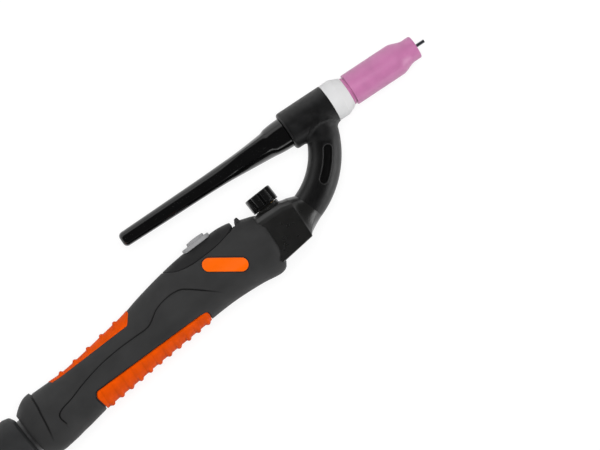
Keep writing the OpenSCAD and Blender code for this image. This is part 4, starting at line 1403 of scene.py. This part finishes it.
    def lower_grip(self) -> bmesh.types.BMesh:
        """Returns the lower grip, with broad scalloped ribs across it."""
        def relief(flat: np.ndarray) -> tuple[np.ndarray, np.ndarray]:
            off = self.ribs(flat, self.lower_rib_x, self.lower_pitch, self.lower_ribs) * self.lower_pitch
            away = np.abs(flat[:, 1] + self.form.seam)
            reach = 9.5 + 10.5 * rise((flat[:, 0] - 56) / 72)
            fade = (1 - 0.62 * rise((away - 3) / 8)) * (1 - rise((away - reach) / 4.5))
            bead = self.bead(off, 1.5) * fade * self.inside(self.lower_outline(), flat)
            # The second value paints shade into the creases between the ribs.
            return 1.15 * bead, 0.35 * np.clip(1 - ((off - 1.9) / 0.6) ** 2, 0, 1) * fade
        return self.grip(self.lower_outline(), relief)

    def inside(self, outline: np.ndarray, flat: np.ndarray) -> np.ndarray:
        """Returns 0 at an outline's border, rising to 1 a little inside it."""
        return rise(distance_to(np.concatenate((outline, outline[:1])), flat) / 2.2)

    def bead(self, off: np.ndarray, half: float) -> np.ndarray:
        """Returns the height of a rounded bead with a soft foot, from 0 to 1, off its middle."""
        return np.clip(1 - (off / half) ** 2, 0, 1) ** 0.6

    def grip(
        self, outline: np.ndarray, relief: Callable[[np.ndarray], tuple[np.ndarray, np.ndarray]]
    ) -> bmesh.types.BMesh:
        """Returns a soft grip with a relief, set in its pocket."""
        made = plate(widened(outline, -0.02), -self.pocket + 0.05, self.grip_proud, 0.5, 3)
        blank = Blank(made)
        blank.slice(0.6)
        return self.pressed(blank, self.grip_proud, relief)

    def badge(self) -> bmesh.types.BMesh:
        """Returns the left badge: a plain pill with a soft edge."""
        blank = Blank(plate(self.badge_outline(), -0.65, 0.14, 0.3, 3))
        blank.slice(1.0)
        return blank.press(self.form.press)

    def module(self) -> bmesh.types.BMesh:
        """Returns the switch module's skin, with a tray for the button."""
        line = self.seam_line(-0.16)
        line = line[(line[:, 0] > 14.95) & (line[:, 1] < self.form.seam - 0.1)]
        over = line[::-1] * (1, -1) + (0, 2 * self.form.seam)
        outline = np.concatenate((line, over))
        made = plate(outline, -self.wall, 0)
        length, width = self.button_size
        hole = stadium(length + 0.5, width + 0.5) + (self.trigger_at[0], 0)
        flat_hole = self.form.from_above(rounded([(*p, 0) for p in hole], step=0.8))
        made = cut(made, plate(flat_hole[::-1], -5, 2), Cut.AWAY)
        soften(made, 0, 0.28)
        blank = Blank(made)
        blank.slice(self.cell)
        blank.refine(lambda flat: np.zeros(len(flat)), 1, self.cell, 1)
        skin = blank.press(self.form.press, np.zeros(len(blank.mesh.verts)))
        shaft = plate(stadium(length + 0.7, width + 0.7), -9, 6)
        bmesh.ops.transform(shaft, matrix=self.seat(), verts=shaft.verts)
        return joined(tidy(cut(skin, shaft, Cut.AWAY)), self.tray())

    def tray(self) -> bmesh.types.BMesh:
        """Returns the tray that the button moves in, round the plunger's hole."""
        length, width = self.button_size
        made = plate(stadium(length + 2.6, width + 2.6), -4.6, -1.0)
        made = cut(made, plate(stadium(length + 0.6, width + 0.6), -3.4, 2), Cut.AWAY)
        made = cut(made, plate(stadium(7.5, 7.4), -6, 2), Cut.AWAY)
        bmesh.ops.transform(made, matrix=self.seat(), verts=made.verts)
        return tidy(made)

    def seat(self) -> Matrix:
        """Returns the matrix from the trigger's seat, with Z pressing outwards, to torch axes."""
        lean = Matrix.Rotation(math.radians(self.trigger_lean), 4, "Z")
        turn = Matrix.Rotation(-QUARTER_TURN, 4, "X")
        return Matrix.Translation((*self.trigger_at, 0)) @ lean @ turn


# ---- Trigger ----


@dataclass
class Trigger(SubAssembly):
    """Button and the spring under it."""

    handle: Handle
    skirt: float = -1.8
    proud: float = 1.5
    crown: float = 3.3
    stem_low: float = -9.3
    spring_d: float = 6.6
    wire_d: float = 0.6
    turns: int = 5
    spring_low: float = -8.3
    travel: float = 1.2

    def build(self) -> None:
        """Makes the button and its spring."""
        self.put("trigger_button_cap", self.button(), BUTTON, Body.TRIGGER, ["trigger_button"])
        spring = self.put("trigger_return_spring", self.spring(), STEEL, Body.HANDLE, ["trigger_spring"])
        seat = self.handle.seat()
        foot = self.origin() + (seat @ Vector((0, 0, self.spring_low))) * MM
        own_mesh(spring)

    def button(self) -> bmesh.types.BMesh:
        """Returns the button: a flange with a crowned pad that rises to the rear."""
        length, width = self.handle.button_size
        flange = plate(stadium(length, width), self.skirt, self.proud, 0.75, 4)
        pad = Blank(plate(stadium(length - 6.8, width - 2.2) + (0.8, 0), self.proud - 0.6, self.proud + 0.9, 0.5, 3))
        pad.slice(0.7)
        for vert in pad.mesh.verts:
            if vert.co.z > self.proud - 0.3:
                run = (vert.co.x - 0.8) / (length / 2)
                vert.co.z += (self.crown - self.proud - 0.8) * (1 - run * run) - 0.02 * vert.co.y**2
        stem = spun(rounded([(self.stem_low, 0, 0), (self.stem_low, 1.5, 0.3), (-1, 1.5, 0), (-1, 0, 0)],
                            closed=False), 32)
        bmesh.ops.rotate(stem, matrix=Matrix.Rotation(-QUARTER_TURN, 3, "Y"), cent=(0, 0, 0), verts=stem.verts)
        made = cut(cut(flange, tidy(pad.mesh), Cut.JOIN), stem, Cut.JOIN)
        bmesh.ops.transform(made, matrix=self.handle.seat(), verts=made.verts)
        return tidy(made)

    def spring(self) -> bmesh.types.BMesh:
        """Returns the return spring, one wire wound up from its seat to the button's skirt."""
        r = (self.spring_d - self.wire_d) / 2
        climb = self.skirt - self.spring_low - self.wire_d - 0.04
        steps = 28 * self.turns
        made = bmesh.new()
        bmesh.ops.create_circle(made, cap_ends=False, segments=10, radius=self.wire_d / 2)
        upright = Matrix.Translation((r, 0, self.spring_low + self.wire_d / 2 + 0.02))
        bmesh.ops.transform(made, matrix=upright @ Matrix.Rotation(QUARTER_TURN, 4, "X"), verts=made.verts)
        bmesh.ops.spin(
            made, geom=made.verts[:] + made.edges[:], cent=(0, 0, 0), axis=(0, 0, 1),
            angle=FULL_TURN * self.turns, steps=steps, dvec=(0, 0, climb / steps), use_merge=False,
        )
        rims = [edge for edge in made.edges if edge.is_boundary]
        bmesh.ops.holes_fill(made, edges=rims, sides=0)
        bmesh.ops.transform(made, matrix=self.handle.seat(), verts=made.verts)
        return tidy(made)


# ---- Cable joint ----


@dataclass
class CableJoint(SubAssembly):
    """Ball in the handle's tail, and the sleeve that takes the cable's cover."""

    form: HandleForm
    ball_at: float = 1.2
    ball_r: float = 15.2
    neck_r: float = 10.95
    bore_r: float = 9.0
    sleeve_at: float = 13.6
    sleeve_end: float = 55.0
    sleeve_r: float = 16.7
    cable_r: float = 10.5
    spigot_end: float = 26.0
    spigot_r: float = 10.9

    def build(self) -> None:
        """Makes the ball and the sleeve."""
        self.put("swivel_ball", self.ball(), JOINT, Body.CABLE_JOINT, ["cable_ball"])
        self.put("cable_cover_sleeve", self.sleeve(), SLEEVE, Body.CABLE_JOINT, ["cable_sleeve"])

    def axis(self) -> Matrix:
        """Returns the matrix that lays a spun piece along the tail's axis."""
        drop = math.radians(self.form.tail_drop)
        return standing(self.form.tail, (-math.cos(drop), -math.sin(drop)))

    def ball(self) -> bmesh.types.BMesh:
        """Returns the ball, its neck and the spigot inside the sleeve."""
        turns = np.linspace(math.radians(-41), math.radians(43.5), 40)
        globe = [(self.ball_at + self.ball_r * math.sin(t), self.ball_r * math.cos(t)) for t in turns]
        rear = rounded([
            (globe[-1][0], globe[-1][1], 0), (globe[-1][0] + 0.5, self.neck_r, 0.3),
            (self.sleeve_at + 0.1, self.neck_r, 0), (self.sleeve_at + 0.1, self.spigot_r, 0),
            (self.spigot_end, self.spigot_r, 0.4), (self.spigot_end, self.bore_r, 0.3),
            (globe[0][0], self.bore_r, 0.3),
        ], closed=False)
        made = spun(np.concatenate((globe[:-1], rear)), 120, closed=True)
        bmesh.ops.transform(made, matrix=self.axis(), verts=made.verts)
        return made

    def sleeve(self) -> bmesh.types.BMesh:
        """Returns the sleeve, rounded in front and open behind."""
        start, end, r = self.sleeve_at, self.sleeve_end, self.sleeve_r
        profile = rounded([
            (start, self.spigot_r + 0.05, 0.2), (start, r - 4.6, 2.2), (start + 1.7, r - 1.2, 2.2),
            (start + 5.6, r, 3.0), (end, r, 0.9), (end, self.cable_r, 0.6),
            (self.spigot_end + 0.1, self.cable_r, 0.1), (self.spigot_end + 0.1, self.spigot_r + 0.05, 0.05),
        ])
        made = spun(profile, 128, closed=True)
        bmesh.ops.transform(made, matrix=self.axis(), verts=made.verts)
        return made


# ---- Inner works ----


@dataclass
class InnerWorks(SubAssembly):
    """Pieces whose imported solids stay, and only get their finish."""

    def build(self) -> None:
        """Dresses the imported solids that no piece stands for."""
        for name, finish in INNER_FINISHES.items():
            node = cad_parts[name]
            if not node.material_slots:
                node.data.materials.append(finish.material())
            for place in node.material_slots:
                place.material = finish.material()
            log.info("%s: packed solid, %s", name, finish.name)


# ---- Studio ----


@dataclass
class Softbox:
    """An area lamp that faces the torch.

    Attributes:
        name: the lamp's name.
        place: where it is in torch axes, in millimetres from the view's centre.
        size: its width and height in metres.
        power: its power in watts.
        mirrored: whether glossy pieces mirror it.
    """

    name: str
    place: tuple[float, float, float]
    size: Point2
    power: float
    mirrored: bool = True

    def build(self, target: Vector) -> None:
        """Makes the lamp, aimed at a target in metres."""
        data = bpy.data.lights.new(self.name, "AREA")
        data.shape = "RECTANGLE"
        data.size, data.size_y = self.size
        data.energy = self.power
        lamp = bpy.data.objects.new(self.name, data)
        lamp.location = target + Vector(self.place) * MM
        lamp.rotation_euler = (target - lamp.location).to_track_quat("-Z", "Y").to_euler()
        lamp.visible_camera = False
        lamp.visible_glossy = self.mirrored
        bpy.context.scene.collection.objects.link(lamp)


@dataclass
class Studio:
    """Camera, pale floor, pale surroundings and soft lamps."""

    view_centre: Point2 = (-52.67, -48.67)
    view_width: float = 343.4
    lens: float = 200.0
    sensor: float = 36.0
    roll: float = 33.65
    yaw: float = 4.5
    floor_size: float = 8.0
    floor_grey: float = 0.82
    floor_glow: float = 1.12
    floor_share: float = 0.74
    fill: float = 0.2
    wall_heights: Point2 = (0.12, 0.4)
    wall_glows: Point2 = (1.0, 0.05)
    lamps: tuple[Softbox, ...] = (
        Softbox("key_softbox", (-60, 120, 1500), (0.9, 0.9), 18.5, mirrored=False),
        Softbox("upper_softbox", (-100, 900, 450), (1.7, 0.36), 1.7),
        Softbox("right_softbox", (860, -620, 330), (0.6, 0.5), 2.6),
        Softbox("low_softbox", (-100, -1000, 200), (1.2, 0.2), 0.7),
    )

    def build(self) -> None:
        """Makes the camera first, then the floor, the surroundings and the lamps."""
        target = SubAssembly.origin() + Vector((*self.view_centre, 0)) * MM
        self.camera(target)
        self.floor()
        self.world()
        for lamp in self.lamps:
            lamp.build(target)
        bpy.context.scene.view_settings.view_transform = "Standard"

    def camera(self, target: Vector) -> None:
        """Makes the camera, looking down at the torch from a little behind it."""
        yaw, roll = math.radians(self.yaw), math.radians(self.roll)
        ahead = Vector((math.sin(yaw), 0, -math.cos(yaw)))
        along = Vector((math.cos(yaw), 0, math.sin(yaw)))
        across = Vector((0, 1, 0))
        right = math.cos(roll) * along - math.sin(roll) * across
        up = math.sin(roll) * along + math.cos(roll) * across
        data = bpy.data.cameras.new("camera")
        data.lens, data.sensor_width = self.lens, self.sensor
        data.clip_end = 50
        camera = bpy.data.objects.new("camera", data)
        distance = self.lens * self.view_width / self.sensor * MM
        turn = Matrix((right, up, -ahead)).transposed().to_4x4()
        camera.matrix_world = Matrix.Translation(target - ahead * distance) @ turn
        bpy.context.scene.collection.objects.link(camera)
        bpy.context.scene.camera = camera

    def seen(self, tree: bpy.types.NodeTree) -> bpy.types.NodeSocket:
        """Returns 1 for rays that look at the surroundings: camera, glossy and transmission rays."""
        path = tree.nodes.new("ShaderNodeLightPath")
        total = path.outputs["Is Camera Ray"]
        for name in ("Is Glossy Ray", "Is Transmission Ray"):
            add = tree.nodes.new("ShaderNodeMath")
            add.operation = "MAXIMUM"
            tree.links.new(total, add.inputs[0])
            tree.links.new(path.outputs[name], add.inputs[1])
            total = add.outputs[0]
        return total

    def floor(self) -> None:
        """Makes the floor: white to the camera, and still shaded by the torch."""
        mesh = bmesh.new()
        bmesh.ops.create_grid(mesh, x_segments=1, y_segments=1, size=self.floor_size / 2)
        bmesh.ops.translate(mesh, verts=mesh.verts, vec=(0, 0, -0.0002))
        data = bpy.data.meshes.new("floor")
        mesh.to_mesh(data)
        mesh.free()
        material = bpy.data.materials.new("pale_floor")
        material.use_nodes = True
        tree = material.node_tree
        matt = tree.nodes["Principled BSDF"]
        matt.inputs["Base Color"].default_value = (*[self.floor_grey] * 3, 1)
        matt.inputs["Roughness"].default_value = 0.9
        matt.inputs["Specular IOR Level"].default_value = 0.1
        glow = tree.nodes.new("ShaderNodeEmission")
        glow.inputs["Strength"].default_value = self.floor_glow
        share = tree.nodes.new("ShaderNodeMath")
        share.operation = "MULTIPLY"
        share.inputs[1].default_value = self.floor_share
        mix = tree.nodes.new("ShaderNodeMixShader")
        tree.links.new(self.seen(tree), share.inputs[0])
        tree.links.new(share.outputs[0], mix.inputs["Fac"])
        tree.links.new(matt.outputs[0], mix.inputs[1])
        tree.links.new(glow.outputs[0], mix.inputs[2])
        tree.links.new(mix.outputs[0], tree.nodes["Material Output"].inputs["Surface"])
        data.materials.append(material)
        floor = bpy.data.objects.new("floor", data)
        bpy.context.scene.collection.objects.link(floor)

    def world(self) -> None:
        """Makes the surroundings: a dim fill, seen as pale walls under a dark ceiling."""
        world = bpy.data.worlds.new("surroundings")
        world.use_nodes = True
        bpy.context.scene.world = world
        tree = world.node_tree
        back = tree.nodes["Background"]
        path = tree.nodes.new("ShaderNodeLightPath")
        place = tree.nodes.new("ShaderNodeTexCoord").outputs["Generated"]
        split = tree.nodes.new("ShaderNodeSeparateXYZ")
        tree.links.new(place, split.inputs[0])
        walls = tree.nodes.new("ShaderNodeMapRange")
        ends = (*self.wall_heights, *self.wall_glows)
        for socket, value in zip(("From Min", "From Max", "To Min", "To Max"), ends):
            walls.inputs[socket].default_value = value
        tree.links.new(split.outputs["Z"], walls.inputs["Value"])
        strength = None
        for ray, value in (("Is Transmission Ray", 1.0), ("Is Glossy Ray", walls.outputs[0]), ("Is Camera Ray", 1.0)):
            mix = tree.nodes.new("ShaderNodeMix")
            mix.inputs["A"].default_value = self.fill
            if strength is not None:
                tree.links.new(strength, mix.inputs["A"])
            if isinstance(value, float):
                mix.inputs["B"].default_value = value
            else:
                tree.links.new(value, mix.inputs["B"])
            tree.links.new(path.outputs[ray], mix.inputs["Factor"])
            strength = mix.outputs["Result"]
        tree.links.new(strength, back.inputs["Strength"])
        back.inputs["Color"].default_value = (1, 1, 1, 1)


def main() -> None:
    """Builds the torch and the studio round it."""
    logging.basicConfig(level=logging.INFO, format="%(message)s")
    Studio().build()
    form = HandleForm()
    neck, handle = Neck(), Handle(form)
    for assembly in (
        NozzleEnd(), neck, BackCap(), GasValve(neck), handle, Trigger(handle), CableJoint(form), InnerWorks()
    ):
        assembly.build()


if __name__ == "__main__":
    main()
